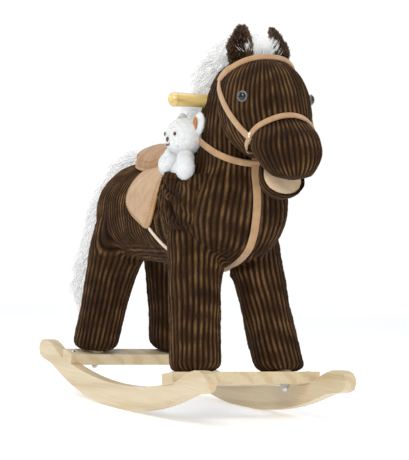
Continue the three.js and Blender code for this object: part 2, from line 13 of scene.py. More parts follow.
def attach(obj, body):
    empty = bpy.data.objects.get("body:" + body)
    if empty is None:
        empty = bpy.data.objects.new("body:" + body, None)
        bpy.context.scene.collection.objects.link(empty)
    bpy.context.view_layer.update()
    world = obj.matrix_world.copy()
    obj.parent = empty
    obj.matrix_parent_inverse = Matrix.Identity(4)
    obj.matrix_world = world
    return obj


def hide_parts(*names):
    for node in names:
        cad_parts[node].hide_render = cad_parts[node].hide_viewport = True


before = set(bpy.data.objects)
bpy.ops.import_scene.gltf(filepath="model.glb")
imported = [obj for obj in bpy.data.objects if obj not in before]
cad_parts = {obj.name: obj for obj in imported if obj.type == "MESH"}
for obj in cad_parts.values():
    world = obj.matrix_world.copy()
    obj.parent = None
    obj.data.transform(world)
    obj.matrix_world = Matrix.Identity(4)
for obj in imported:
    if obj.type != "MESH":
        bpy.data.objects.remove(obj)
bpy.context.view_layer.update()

MM = 0.001
SHIFT = np.array([0.0, 22.0, 0.0])  # the tables below count y from the rockers' middle
SIDES = {"right": -1, "left": 1}
ENDS = {"front": -1, "rear": 1}
WALE = 8.5  # pitch of the plush's ribs, mm
RIB_DEPTH = 2.1  # from the groove to the highest crest, mm
RIB_MIDDLE = 0.55  # the share of that depth at which the unribbed surface lies
SLAT_TILT = math.radians(9.5)  # the cross slats, and the feet on them, slope towards the middle
rng = np.random.default_rng(7)


# ------------------------------------------------------------------ node materials
def material(name, color, rough=0.8, metal=0.0, coat=0.0, sheen=0.0, sheen_rough=0.4):
    m = bpy.data.materials.new(name)
    m.use_nodes = True
    p = m.node_tree.nodes["Principled BSDF"]
    p.inputs["Base Color"].default_value = (*color, 1)
    p.inputs["Roughness"].default_value = rough
    p.inputs["Metallic"].default_value = metal
    p.inputs["Coat Weight"].default_value = coat
    p.inputs["Sheen Weight"].default_value = sheen
    p.inputs["Sheen Roughness"].default_value = sheen_rough
    return m, m.node_tree, p


def texture(tree, kind, scale, detail, stretch=(1, 1, 1)):
    """A procedural texture in the object's own coordinates, which are the frame's metres."""
    at = tree.nodes.new("ShaderNodeTexCoord")
    turn = tree.nodes.new("ShaderNodeMapping")
    turn.inputs["Scale"].default_value = stretch
    made = tree.nodes.new(kind)
    made.inputs["Scale"].default_value = scale
    made.inputs["Detail"].default_value = detail
    tree.links.new(at.outputs["Object"], turn.inputs["Vector"])
    tree.links.new(turn.outputs["Vector"], made.inputs["Vector"])
    return made


def ramp(tree, source, stops):
    made = tree.nodes.new("ShaderNodeValToRGB")
    line = made.color_ramp
    while len(line.elements) < len(stops):
        line.elements.new(0.5)
    for element, (at, color) in zip(line.elements, stops):
        element.position = at
        element.color = (*color, 1)
    tree.links.new(source, made.inputs["Fac"])
    return made.outputs["Color"]


def bump(tree, p, source, depth, strength):
    node = tree.nodes.new("ShaderNodeBump")
    node.inputs["Distance"].default_value = depth
    node.inputs["Strength"].default_value = strength
    tree.links.new(source, node.inputs["Height"])
    tree.links.new(node.outputs["Normal"], p.inputs["Normal"])


def multiply(tree, a, b):
    node = tree.nodes.new("ShaderNodeMix")
    node.data_type = "RGBA"
    node.blend_type = "MULTIPLY"
    node.inputs["Factor"].default_value = 1
    tree.links.new(a, node.inputs["A"])
    tree.links.new(b, node.inputs["B"])
    return node.outputs["Result"]


def plush_material():
    m, tree, p = material("ribbed_plush", (0.05, 0.026, 0.015), 0.85, sheen=0.14, sheen_rough=0.3)
    p.inputs["Sheen Tint"].default_value = (0.8, 0.52, 0.3, 1)
    p.inputs["Specular IOR Level"].default_value = 0.12
    rib = tree.nodes.new("ShaderNodeAttribute")
    rib.attribute_name = "rib"
    # The rib ramp paints shade, near black in the grooves, and a painted highlight on the crests.
    base = ramp(tree, rib.outputs["Fac"], [
        (0.0, (0.0068, 0.0028, 0.0010)), (0.4, (0.023, 0.0102, 0.0034)),
        (0.75, (0.052, 0.025, 0.0088)), (1.0, (0.148, 0.081, 0.033))])
    cloud = texture(tree, "ShaderNodeTexNoise", 22, 4)
    patch = ramp(tree, cloud.outputs["Fac"], [(0.33, (0.66, 0.6, 0.56)), (0.62, (1.15, 1.15, 1.15))])
    pile = texture(tree, "ShaderNodeTexNoise", 620, 2)
    grain = ramp(tree, pile.outputs["Fac"], [(0.3, (0.7, 0.7, 0.7)), (0.7, (1.25, 1.25, 1.25))])
    tree.links.new(multiply(tree, multiply(tree, base, patch), grain), p.inputs["Base Color"])
    bump(tree, p, pile.outputs["Fac"], 0.0012, 0.7)
    return m


def wood_material(name, light, dark, rough, coat, stretch, scale):
    m, tree, p = material(name, light, rough, coat=coat)
    p.inputs["Coat Roughness"].default_value = 0.22
    rings = texture(tree, "ShaderNodeTexWave", scale, 3, stretch)
    rings.wave_type = "BANDS"
    rings.bands_direction = "DIAGONAL"
    rings.inputs["Distortion"].default_value = 5.5
    rings.inputs["Detail Scale"].default_value = 1.2
    color = ramp(tree, rings.outputs["Fac"], [(0.0, dark), (0.55, light), (1.0, light)])
    fibre = texture(tree, "ShaderNodeTexNoise", 260, 3, (stretch[0] * 2, stretch[1] * 0.5, stretch[2] * 2))
    lines = ramp(tree, fibre.outputs["Fac"], [(0.35, (0.9, 0.88, 0.85)), (0.6, (1, 1, 1))])
    tree.links.new(multiply(tree, color, lines), p.inputs["Base Color"])
    bump(tree, p, fibre.outputs["Fac"], 0.0002, 0.3)
    return m


def suede_material(name, color, dark):
    m, tree, p = material(name, color, 0.88, sheen=0.3, sheen_rough=0.5)
    cloud = texture(tree, "ShaderNodeTexNoise", 55, 5)
    tint = ramp(tree, cloud.outputs["Fac"], [(0.3, dark), (0.68, color)])
    tree.links.new(tint, p.inputs["Base Color"])
    fine = texture(tree, "ShaderNodeTexNoise", 900, 2)
    bump(tree, p, fine.outputs["Fac"], 0.0004, 0.5)
    return m


def fur_material(name, light, shade, glow=0.0):
    """Pile whose glow, an emission, is painted light standing in for light scattered inside it; along below 0.55
    blends its colour towards shade, which is painted shade.
    """
    m, tree, p = material(name, light, 0.62, sheen=0.2)
    p.inputs["Emission Color"].default_value = (*light, 1)
    p.inputs["Emission Strength"].default_value = glow
    along = tree.nodes.new("ShaderNodeAttribute")
    along.attribute_name = "along"
    tint = ramp(tree, along.outputs["Fac"], [(0.0, shade), (0.55, light), (1.0, light)])
    tree.links.new(tint, p.inputs["Base Color"])
    return m


PLUSH = plush_material()
PINE = wood_material("pine", (0.72, 0.60, 0.40), (0.64, 0.50, 0.30), 0.45, 0.15, (1, 0.1, 1), 17)
HONEY = wood_material("honey_varnish", (0.80, 0.60, 0.225), (0.66, 0.47, 0.155), 0.3, 0.6, (0.1, 1, 1), 40)
SUEDE = suede_material("suede", (0.50, 0.315, 0.165), (0.40, 0.24, 0.115))
# The seat's suede is a darker copy of the suede: painted shade on the seat.
SHADED_SEAT_SUEDE = suede_material("shaded_seat_suede", (0.385, 0.215, 0.095), (0.31, 0.165, 0.066))
STRAP = suede_material("suede_strap", (0.51, 0.31, 0.155), (0.40, 0.23, 0.11))
PIPING = suede_material("suede_piping", (0.52, 0.29, 0.105), (0.42, 0.22, 0.07))
WEBBING = suede_material("cream_webbing", (0.78, 0.66, 0.52), (0.7, 0.57, 0.43))
FELT = suede_material("mouth_felt", (0.97, 0.74, 0.48), (0.9, 0.66, 0.42))
THREAD = material("thread", (0.36, 0.19, 0.08), 0.7)[0]
BROWN_THREAD = material("brown_thread", (0.11, 0.045, 0.02), 0.6)[0]
STEEL = material("zinc_plate", (0.62, 0.63, 0.65), 0.28, 1.0)[0]
BRASS = material("pale_rivet", (0.86, 0.7, 0.55), 0.25, 0.6)[0]
EYE = material("eye_black", (0.003, 0.003, 0.004), 0.1, coat=0.3)[0]
EYE_RING = material("eye_grey", (0.17, 0.18, 0.195), 0.16, coat=0.6)[0]
# The white pile's glow is painted light that lifts its shaded side.
FUR = fur_material("white_pile", (0.905, 0.91, 0.905), (0.75, 0.76, 0.775), 0.125)
BEAR = fur_material("bear_pile", (0.83, 0.85, 0.855), (0.72, 0.74, 0.755))
BROWN_PILE = fur_material("brown_pile", (0.115, 0.056, 0.023), (0.019, 0.008, 0.003))
EAR_PATCH = suede_material("ear_patch", (0.52, 0.2, 0.05), (0.38, 0.13, 0.03))


# ------------------------------------------------------------------ meshes from arrays
def unit(v):
    return v / np.maximum(np.linalg.norm(v, axis=-1, keepdims=True), 1e-12)


def around(count):
    """Even angles once round, in radians."""
    return np.linspace(0, 2 * np.pi, count, endpoint=False)


def as_object(name, co, faces, mat, slot, stands_for=(), body="horse"):
    """co in millimetres with the tables' own y; faces are equal-length index rows."""
    faces = np.asarray(faces, np.int32)
    mesh = bpy.data.meshes.new(name)
    mesh.vertices.add(len(co))
    mesh.vertices.foreach_set("co", ((np.asarray(co, float) + SHIFT) * MM).astype(np.float32).ravel())
    k = faces.shape[1]
    mesh.loops.add(faces.size)
    mesh.loops.foreach_set("vertex_index", faces.ravel())
    mesh.polygons.add(len(faces))
    mesh.polygons.foreach_set("loop_start", np.arange(0, faces.size, k, dtype=np.int32))
    mesh.update(calc_edges=True)
    mesh.validate()
    mesh.shade_smooth()
    mesh.materials.append(mat)
    made = bpy.data.objects.new(name, mesh)
    bpy.context.scene.collection.objects.link(made)
    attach(made, body)
    if stands_for:
        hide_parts(*stands_for)
    return made


def paint(obj, name, values):
    attribute = obj.data.attributes.new(name, "FLOAT", "POINT")
    attribute.data.foreach_set("value", np.asarray(values, np.float32))


def curve_rows(rows, count, closed=False):
    """count points of a smooth curve through rows, evenly spaced along their first three columns."""
    rows = np.asarray(rows, float)
    k = len(rows)
    t = np.linspace(0, k if closed else k - 1, 40 * k)
    i = np.minimum(t.astype(int), (k if closed else k - 1) - 1)
    f = (t - i)[:, None]
    pick = (lambda j: rows[j % k]) if closed else (lambda j: rows[np.clip(j, 0, k - 1)])
    a, b, c, d = pick(i - 1), pick(i), pick(i + 1), pick(i + 2)
    p = 0.5 * (2 * b + (c - a) * f + (2 * a - 5 * b + 4 * c - d) * f**2 + (3 * b - a - 3 * c + d) * f**3)
    run = np.concatenate([[0], np.cumsum(np.linalg.norm(np.diff(p[:, :3], axis=0), axis=1))])
    want = np.linspace(0, run[-1], count + 1)[:-1] if closed else np.linspace(0, run[-1], count)
    return np.stack([np.interp(want, run, p[:, j]) for j in range(p.shape[1])], axis=1)


def grid_faces(rows, cols):
    """Quads of a grid whose rows run along the piece and whose columns run round it."""
    r = np.arange(rows - 1)[:, None]
    c = np.arange(cols)[None, :]
    n = (c + 1) % cols
    quads = np.stack([r * cols + c, r * cols + n, (r + 1) * cols + n, (r + 1) * cols + c], axis=-1)
    return quads.reshape(-1, 4)


def quads_to_tris(quads):
    return np.concatenate([quads[:, [0, 1, 2]], quads[:, [0, 2, 3]]])


def capped(co, rows, cols):
    """A tube's grid, closed by a fan of triangles to the middle of each end."""
    tri = quads_to_tris(grid_faces(rows, cols))
    first, last = len(co), len(co) + 1
    c = np.arange(cols)
    n = (c + 1) % cols
    start = np.stack([np.full(cols, first), n, c], axis=1)
    base = (rows - 1) * cols
    end = np.stack([np.full(cols, last), base + c, base + n], axis=1)
    middle = [co[:cols].mean(0), co[-cols:].mean(0)]
    return np.vstack([co, middle]), np.vstack([tri, start, end])


def normals_of(co, tri):
    a, b, c = (co[tri[:, i]] for i in range(3))
    face = np.cross(b - a, c - a)
    total = np.zeros_like(co)
    for i in range(3):
        np.add.at(total, tri[:, i], face)
    return unit(total)


def outward(co, tri):
    """The triangles, turned round if they face inwards."""
    a, b, c = (co[tri[:, i]] for i in range(3))
    volume = np.einsum("ij,ij->i", a, np.cross(b, c)).sum()
    return tri if volume > 0 else tri[:, ::-1]


def closed_skin(co, rows, cols):
    """A capped tube's points, its triangles facing outwards, and its normals."""
    co, tri = capped(co, rows, cols)
    tri = outward(co, tri)
    return co, tri, normals_of(co, tri)


def rings(rows, sides, count, square=2.0):
    """Rows of (x, y, z, half width, half depth, forward tilt in degrees) as a grid of points."""
    r = curve_rows(rows, count)
    c, s = np.cos(around(sides)), np.sin(around(sides))
    bend = lambda v: np.sign(v) * np.abs(v) ** (2 / square)
    tilt = np.radians(r[:, 5])
    v = np.stack([np.zeros(count), -np.cos(tilt), -np.sin(tilt)], axis=1)
    u = np.array([1.0, 0, 0])
    co = r[:, None, :3] + (bend(s)[None, :, None] * r[:, 3, None, None] * u)
    co = co + bend(c)[None, :, None] * r[:, 4, None, None] * v[:, None, :]
    return co.reshape(-1, 3)


def wobble(p, scale, seed, octaves=2):
    """Smooth pseudo-random values from -1 to 1 at points p, made of turned sine waves."""
    r = np.random.default_rng(seed)
    total = np.zeros(len(p))
    weight = 0
    for o in range(octaves):
        for _ in range(5):
            d = r.normal(size=3)
            d *= 2 * np.pi * 2**o / (scale * np.linalg.norm(d))
            total += np.sin(p @ d + r.uniform(0, 6.28)) / 2**o
        weight += 2.2 / 2**o
    return total / weight


RIB_HEIGHTS = rng.uniform(0.8, 1.0, 997)


def wale(s):
    """The rib profile at distance s across the ribs: 0 in the groove, and each rib's own height on its crest."""
    own = RIB_HEIGHTS[np.round(s / WALE).astype(int) % len(RIB_HEIGHTS)]
    return np.abs(np.cos(np.pi * s / WALE)) ** 0.85 * own


def rib_rise(rib, clump, depth=RIB_DEPTH):
    """How far ribs of this profile stand out. clump, from 0 to 1, is where the pile is fuller."""
    return depth * (rib - RIB_MIDDLE) * (0.85 + 0.25 * clump)


# A rib's colour value: painted shade in the groove and a painted highlight on the crest, lighter where the pile is
# fuller.
def rib_shade_and_highlight(rib, clump):
    return np.clip(rib * (0.8 + 0.3 * clump), 0, 1)


def step(a, b, v):
    t = np.clip((v - a) / (b - a), 0, 1)
    return t * t * (3 - 2 * t)


# ------------------------------------------------------------------ outlines of the soft body, mm
# [y, top, bottom, half width] from chest to rump
TORSO = [(-243, 338, 318, 4), (-239, 356, 296, 36), (-226, 376, 268, 58), (-200, 393, 249, 74),
         (-160, 400, 234, 83), (-110, 398, 228, 84), (-50, 392, 226, 82), (10, 389, 226, 82),
         (60, 389, 227, 84), (110, 392, 228, 88), (160, 389, 230, 90), (200, 376, 236, 84),
         (228, 353, 252, 66), (241, 330, 276, 40), (245, 312, 294, 4)]
TORSO = [(0, y, (top + low) / 2, w, (top - low) / 2, 90) for y, top, low, w in TORSO]
# [y, z, half width, half depth, tilt] up the neck
NECK = [(-118, 300, 70, 98, 25), (-140, 350, 69, 94, 25), (-154, 390, 64, 86, 24), (-166, 430, 59, 72, 22),
        (-180, 470, 55, 62, 20), (-197, 510, 48, 54, 18), (-212, 534, 30, 36, 18)]
NECK = [(0, *row) for row in NECK]
# [x, y, z, radius] down the right-hand legs
LEGS = {
    "front": [(44, -122, 300, 42), (47, -130, 270, 44), (50, -140, 240, 43), (55, -154, 200, 40),
              (60, -168, 160, 39), (65, -182, 120, 39), (69, -195, 86, 38.5), (71, -200, 77, 35), (71, -200, 74, 28)],
    "rear": [(42, 160, 300, 50), (46, 170, 270, 50), (50, 182, 240, 48), (55, 197, 200, 42),
             (60, 206, 160, 39), (65, 213, 120, 38.5), (69, 219, 86, 38), (71, 221, 77, 34), (71, 221, 74, 27)]}
LEG_FOOT_MIDDLE = 200  # how far each foot stands from the middle of the rockers


def leg_tube(end, side):
    sides, count = 48, 40
    co = rings([(side * x, y, z, r, r, 0) for x, y, z, r in LEGS[end]], sides, count)
    foot = 1 - step(80, 130, co[:, 2])
    co[:, 2] += foot * (co[:, 1] * ENDS[end] - LEG_FOOT_MIDDLE) * math.tan(SLAT_TILT)
    return capped(co, count, sides)


def tube(rows, sides, count, square=2.0):
    return capped(rings(rows, sides, count, square), count, sides)


def joined(tubes):
    co, tri, at = [], [], 0
    for points, faces in tubes:
        co.append(points)
        tri.append(faces + at)
        at += len(points)
    return np.vstack(co), np.vstack(tri)


def remeshed(tubes, voxel, smooth, subdivide=1):
    """One skin round several closed tubes, smoothed where they meet, as points and quads in mm."""
    co, tri = joined(tubes)
    mesh = bpy.data.meshes.new("skin")
    mesh.from_pydata((co * MM).tolist(), [], tri.tolist())
    obj = bpy.data.objects.new("skin", mesh)
    bpy.context.scene.collection.objects.link(obj)
    mod = obj.modifiers.new("remesh", "REMESH")
    mod.mode = "VOXEL"
    mod.voxel_size = voxel * MM
    mod = obj.modifiers.new("smooth", "SMOOTH")
    mod.iterations = smooth
    mod.factor = 0.5
    if subdivide:
        mod = obj.modifiers.new("fine", "SUBSURF")
        mod.levels = mod.render_levels = subdivide
    graph = bpy.context.evaluated_depsgraph_get()
    done = obj.evaluated_get(graph).to_mesh()
    co = np.zeros(len(done.vertices) * 3, np.float32)
    done.vertices.foreach_get("co", co)
    quads = np.zeros(len(done.loops), np.int32)
    done.loops.foreach_get("vertex_index", quads)
    obj.evaluated_get(graph).to_mesh_clear()
    bpy.data.objects.remove(obj)
    bpy.data.meshes.remove(mesh)
    return co.reshape(-1, 3).astype(float) / MM, quads.reshape(-1, 4)


def along(rows, z, column):
    """A table's column looked up by height, which is in column 2."""
    table = np.asarray(rows, float)
    order = np.argsort(table[:, 2])
    return np.interp(z, table[order, 2], table[order, column])


def segment_distance(p, a, b):
    a, b = np.asarray(a, float), np.asarray(b, float)
    t = np.clip((p - a) @ (b - a) / ((b - a) @ (b - a)), 0, 1)
    return np.linalg.norm(p - a - t[:, None] * (b - a), axis=1)


def crease(p, line, width, depth):
    """A soft fold along a polyline: how far the surface sinks, with the cloth rising beside it."""
    d = np.min([segment_distance(p, a, b) for a, b in zip(line, line[1:])], axis=0)
    return -depth * np.exp(-((d / width) ** 2)) + 0.45 * depth * np.exp(-(((d - 2.1 * width) / width) ** 2))


# ------------------------------------------------------------------ the ribbed body
# (y, z) of the rump's edge, and of the line from which its ribs fan out
RUMP_BACK = [(238, 66), (243, 120), (242, 200), (243, 250), (245, 300), (241, 330), (228, 353), (200, 376),
             (172, 384), (150, 390)]
RIB_FOOT = [(25, 66), (25, 300), (34, 340), (44, 376), (50, 384), (60, 390)]
LEG_RIBS = 29  # round each leg
LEG_SEAM = {"front": (283, 291, 0), "rear": (222, 256, 2.5)}  # between which heights its ribs end, and their shift


def body_ribs(p, n):
    """Height of the ribs at points p. Each sewn panel has its own direction, and the panels blend."""
    x, y, z = np.abs(p[:, 0]), p[:, 1], p[:, 2]
    height = np.clip(z, 300, 534)
    half, depth = along(NECK, height, 3), along(NECK, height, 4)
    middle = along(NECK, height, 1)
    turn = np.arctan2(x / half, (middle - y) / depth)
    neck = wale((half + depth) / 2 * turn + (half - depth) / 4 * np.sin(2 * turn))
    back = along([(0, b, c) for b, c in RUMP_BACK], z, 1)
    foot = along([(0, b, c) for b, c in RIB_FOOT], z, 1)
    squeeze = 220 / np.maximum(back - foot, 40)
    rump = wale(0.8 * x + (back - y) * squeeze) * (1 - step(2.2, 3.2, squeeze))
    belly = wale(85 * np.arctan2(x, 320 - z))
    to_rear = step(-45, 5, y) * (1 - step(395, 410, z))
    side = neck * (1 - to_rear) + rump * to_rear
    under = np.maximum(step(0.72, 0.95, -n[:, 2]), step(262, 246, z) * step(115, 85, y) * step(-95, -75, y))
    under = under * step(330, 280, z)
    ribs = side * (1 - under) + belly * under
    for end, rows in LEGS.items():
        ax, ay, r = (along(rows, z, i) for i in (0, 1, 3))
        out, ahead = x - ax, (ay - y) * (-ENDS[end])
        inside = 1 - step(1.12, 1.3, np.hypot(out, ahead) / r)
        low, high, shift = LEG_SEAM[end]
        leg = wale(np.arctan2(out, ahead) / (2 * np.pi) * LEG_RIBS * WALE + shift)
        weight = inside * (1 - step(low, high, z))
        ribs = ribs * (1 - weight) + leg * weight
    return ribs


# each fold's line on the left side, its half width and its depth
FOLDS = [
    ([(60, -66, 232), (82, -72, 268), (86, -66, 300), (84, -52, 330)], 5, 5.0),  # behind the shoulder
    ([(84, -20, 332), (85, -55, 322), (86, -76, 326)], 5, 2.6),
    ([(30, -196, 262), (24, -170, 236), (14, -130, 229)], 6, 4.0),  # inside of the front leg
    ([(88, 60, 268), (80, 96, 250), (60, 132, 232), (30, 140, 228)], 5, 4.5),  # groin
    ([(88, 90, 276), (84, 118, 262), (78, 138, 246)], 4, 2.6),
    ([(92, -180, 150), (96, -160, 154)], 4, 1.6),
    ([(104, 196, 132), (96, 182, 128)], 4, 1.6),
]


def ribbed_body():
    tubes = [tube(TORSO, 72, 60, 2.2), tube(NECK, 72, 40, 2.1)]
    tubes += [leg_tube(end, side) for end in ENDS for side in SIDES.values()]
    co, quads = remeshed(tubes, 2.5, 22)
    tri = quads_to_tris(quads)
    n = normals_of(co, tri)
    drift = np.stack([wobble(co, 75, 11), wobble(co, 75, 12), wobble(co, 75, 13)], axis=1)
    ribs = body_ribs(co + 1.3 * drift, n)
    clump = 0.5 + 0.5 * wobble(co, 34, 3)
    out = rib_rise(ribs, clump)
    out += 1.5 * wobble(co, 110, 4) + 0.7 * wobble(co, 38, 5) + 0.22 * wobble(co, 6, 6)
    for line, width, depth in FOLDS:
        for side in SIDES.values():
            out += crease(co, [(side * x, y, z) for x, y, z in line], width, depth)
    return co + n * out[:, None], quads, rib_shade_and_highlight(ribs, clump)


body_co, body_quads, body_rib = ribbed_body()


def split_body(name, keep, nodes):
    """The part of the body's skin on one side of the saddle, closed with a cap under the saddle."""
    whole = as_object(name, body_co, body_quads, PLUSH, "corduroy", nodes)
    paint(whole, "rib", body_rib)
    bm = bmesh.new()
    bm.from_mesh(whole.data)
    cut = bmesh.ops.bisect_plane(
        bm, geom=bm.verts[:] + bm.edges[:] + bm.faces[:], plane_co=(0, 0.03, 0), plane_no=(0, keep, 0),
        clear_inner=True)
    edges = [e for e in cut["geom_cut"] if isinstance(e, bmesh.types.BMEdge)]
    bmesh.ops.edgeloop_fill(bm, edges=edges)
    bm.to_mesh(whole.data)
    bm.free()
    whole.data.shade_smooth()


split_body("plush_forehand", -1, ["neck_cover", "front_right_leg_cover", "front_left_leg_cover"])
split_body("plush_hindquarters", 1, ["torso_cover", "rear_right_leg_cover", "rear_left_leg_cover"])


# ------------------------------------------------------------------ head, muzzle, jaw
# [z, y, half width, half depth] from top to bottom
HEAD = [(547, -245, 4, 5), (543, -246, 26, 30), (534, -247, 42, 50), (521, -248, 54, 66), (503, -251, 62, 77),
        (480, -256, 65, 84), (455, -264, 64, 86), (430, -275, 58, 80), (410, -287, 46, 64), (396, -294, 28, 40),
        (391, -297, 5, 8)]
MUZZLE = [(464, -306, 5, 6), (458, -311, 26, 28), (446, -320, 39, 40), (430, -331, 48, 50), (410, -339, 51, 53),
          (394, -347, 46, 48), (380, -354, 37, 39), (370, -359, 26, 28), (365, -361, 5, 6)]
HEAD, MUZZLE = ([(0, y, z, w, d, 0) for z, y, w, d in rows] for rows in (HEAD, MUZZLE))
JAW_MIDDLE = np.array([0, -320, 361])
MOUTH_LEAN = math.radians(27)
JAW_SIDES = 240
JAW_HALF_WIDTH, JAW_DROP, CHEEK_HEIGHT = 34.2, 28.2, 40
MOUTH_OUT = np.array([0, -math.cos(MOUTH_LEAN), math.sin(MOUTH_LEAN)])


def meridian_ball(name, rows, sides, count, ribs, twist, node):
    """A stuffed ball whose ribs are its meridians, narrowing towards both ends."""
    co, tri, n = closed_skin(rings(rows, sides, count), count, sides)
    turn = np.append(np.tile(around(sides), count), [0, 0])
    half = along(rows, co[:, 2], 3)
    narrow = 2 * np.pi * half / ribs / WALE
    bend = twist * (co[:, 2] - co[:, 2].mean()) / np.ptp(co[:, 2])
    rib = wale(WALE * ribs / 2 / np.pi * (turn + bend * np.sin(turn) + 0.02 * wobble(co, 70, 20)))
    rib = rib * step(0.25, 0.6, narrow) + 0.5 * (1 - step(0.25, 0.6, narrow))
    clump = 0.5 + 0.5 * wobble(co, 30, 21)
    out = rib_rise(rib, clump) * np.minimum(1, narrow + 0.25)
    out += 0.9 * wobble(co, 60, 22) + 0.2 * wobble(co, 6, 23)
    made = as_object(name, co + n * out[:, None], tri, PLUSH, "corduroy", [node])
    paint(made, "rib", rib_shade_and_highlight(rib, clump))


meridian_ball("plush_head", HEAD, 480, 110, 54, 0.35, "head_cover")
meridian_ball("plush_muzzle", MUZZLE, 380, 80, 38, 0.2, "muzzle_cover")


def jaw_points(reach, out):
    """Rings about the jaw's middle, in the plane of the open mouth; out is each ring's way forwards.
    Below the pin the jaw is half an ellipse, and above it two cheeks rise inside the muzzle."""
    s, c = np.sin(around(JAW_SIDES)), np.cos(around(JAW_SIDES))
    high = c > 0
    across = JAW_HALF_WIDTH * np.where(high, np.sign(s) * np.abs(s) ** 0.65, s)
    rise = np.where(high, CHEEK_HEIGHT * np.abs(c) ** 0.85, JAW_DROP * c)
    up_ = np.array([0, math.sin(MOUTH_LEAN), math.cos(MOUTH_LEAN)])
    reach, out = np.asarray(reach)[:, None, None], np.asarray(out)[:, None, None]
    flat = across[:, None] * np.array([1.0, 0, 0]) + rise[:, None] * up_
    return (JAW_MIDDLE + reach * flat + out * MOUTH_OUT).reshape(-1, 3)


def jaw_and_lining():
    """The hanging jaw is a half ball with a rolled rim, and the lining is a soft pad in its open side."""
    count = 60
    angle = np.linspace(0.02, 1, count) * math.radians(96)
    # from the back of the jaw's bowl out to the rim, then over it to the pad's edge
    rim = np.array([(1.0, 12.4), (0.975, 13.2), (0.93, 13.0), (0.885, 11.6), (0.86, 9.5), (0.84, 8.0), (0.4, 8.0),
                    (0.02, 8.0)])
    reach = np.concatenate([np.sin(np.minimum(angle, math.radians(92))), rim[:, 0]])
    out = np.concatenate([-33 * np.cos(angle) + 10, rim[:, 1]])
    co, tri, n = closed_skin(jaw_points(reach, out), len(reach), JAW_SIDES)
    run = np.concatenate([[0], np.cumsum(np.hypot(31 * np.diff(reach), np.diff(out)))])
    rib = wale(np.append(np.repeat(run, JAW_SIDES), [0, run[-1]]) + 1.2 * wobble(co, 30, 30))
    outer = np.append(np.repeat(np.arange(len(reach)) < count + 3, JAW_SIDES), [1, 0])
    rise = outer * 1.9 * (rib - 0.5) + 0.3 * wobble(co, 12, 31)
    jaw = as_object("plush_jaw", co + n * rise[:, None], tri, PLUSH, "corduroy", ["lower_jaw"], "jaw")
    paint(jaw, "rib", rib * 0.9)
    reach = [0.02, 0.3, 0.6, 0.8, 0.86, 0.88, 0.86, 0.4, 0.02]
    out = [9.4, 9.6, 10.3, 10.9, 10.6, 9.6, 8.4, 8.2, 8.2]
    co, tri, _ = closed_skin(jaw_points(reach, out), len(reach), JAW_SIDES)
    co += MOUTH_OUT * (0.35 * wobble(co, 16, 32))[:, None]
    lining = as_object("mouth_pad", co, tri, FELT, "lining", ["mouth_lining"], "jaw")


jaw_and_lining()


# ------------------------------------------------------------------ ears
# [lean back, height, half width] from the root to the tip
EAR = [(0, 528, 12), (0.3, 543, 18), (1.2, 557, 20), (3.2, 570, 18), (6, 582, 13), (8, 590, 7.5), (8.6, 593.5, 3)]


EAR_ROOT = (32, -234, 528)  # the left one's


def ear(name, side):
    """A broad padded leaf, folded into a cup that opens forwards and outwards."""
    rows = curve_rows(EAR, 60)
    across = np.linspace(-1, 1, 61)
    turn = math.radians(28)
    ring = []
    for lean, lift, half in rows:
        cup = 9.5 * across**2 * half / 19
        thick = 5.4 * np.sqrt(np.maximum(0, 1 - across**4)) * min(1, (596 - lift) / 10) + 0.4
        w = across * half * (1 - 0.06 * across**2)
        both = []
        for sign in (-1, 1):
            y = 1.6 * lean - cup + sign * thick / 2
            x = w * math.cos(turn) - y * math.sin(turn) * side
            depth = y * math.cos(turn) + w * math.sin(turn) * side
            root = side * (EAR_ROOT[0] - 0.03 * (lift - EAR_ROOT[2]))
            both.append(np.stack([x + root, depth + EAR_ROOT[1], np.full_like(w, lift)], axis=1))
        ring.append(np.vstack([both[0], both[1][::-1]]))
    co, tri, n = closed_skin(np.vstack(ring), len(ring), len(ring[0]))
    flat = np.append(np.tile(np.concatenate([across, across[::-1]]), len(ring)), [0, 0])
    inner = np.append(np.tile(np.concatenate([np.ones(61), np.zeros(61)]), len(ring)), [0, 0])
    rumple = 0.5 + 0.5 * wobble(co, 13, 41 + side)
    rib = 0.3 * wale(19 * flat) + 0.7 * rumple
    out = 2.3 * (rib - 0.5) + 1.3 * wobble(co, 20, 43 + side) + 0.4 * wobble(co, 6, 46)
    co = co + n * out[:, None]
    made = as_object(f"plush_{name}_ear", co, tri, PLUSH, "corduroy", [f"{name}_ear"])
    # The middle of the cup's inner face is darkened: painted shade in the hollow.
    paint(made, "rib", np.clip(rib, 0, 1) * (1 - 0.55 * inner * step(0.8, 0.1, np.abs(flat))))
    return co, n, flat


EARS = {side_name: ear(side_name, side) for side_name, side in SIDES.items()}


# ------------------------------------------------------------------ surfaces to lay tack on
def tree_of(*tubes):
    co, tri = joined(tubes)
    return BVHTree.FromPolygons(co.tolist(), tri.tolist())


HEAD_TREE = tree_of(tube(HEAD, 96, 60), tube(MUZZLE, 96, 60), tube(NECK, 96, 60, 2.1))
FACE_TREE = tree_of(tube(HEAD, 96, 60), tube(MUZZLE, 96, 60))
BODY_TREE = tree_of((body_co, quads_to_tris(body_quads)))


def outermost(tree, origin, direction):
    """The last surface that a ray from inside the body leaves, and its outward normal."""
    direction = Vector(direction).normalized()
    far = Vector(origin) + direction * 400
    hit, normal, _, _ = tree.ray_cast(far, -direction)
    if hit is None:
        return None, None
    return np.array(hit), np.array(normal if normal.dot(direction) > 0 else -normal)


STRAP_PROFILE = [(-0.5, 0.0), (-0.5, 0.55), (-0.44, 1.0), (-0.2, 1.08), (0.2, 1.08), (0.44, 1.0), (0.5, 0.55),
                 (0.5, 0.0)]  # (across, up) in widths and thicknesses


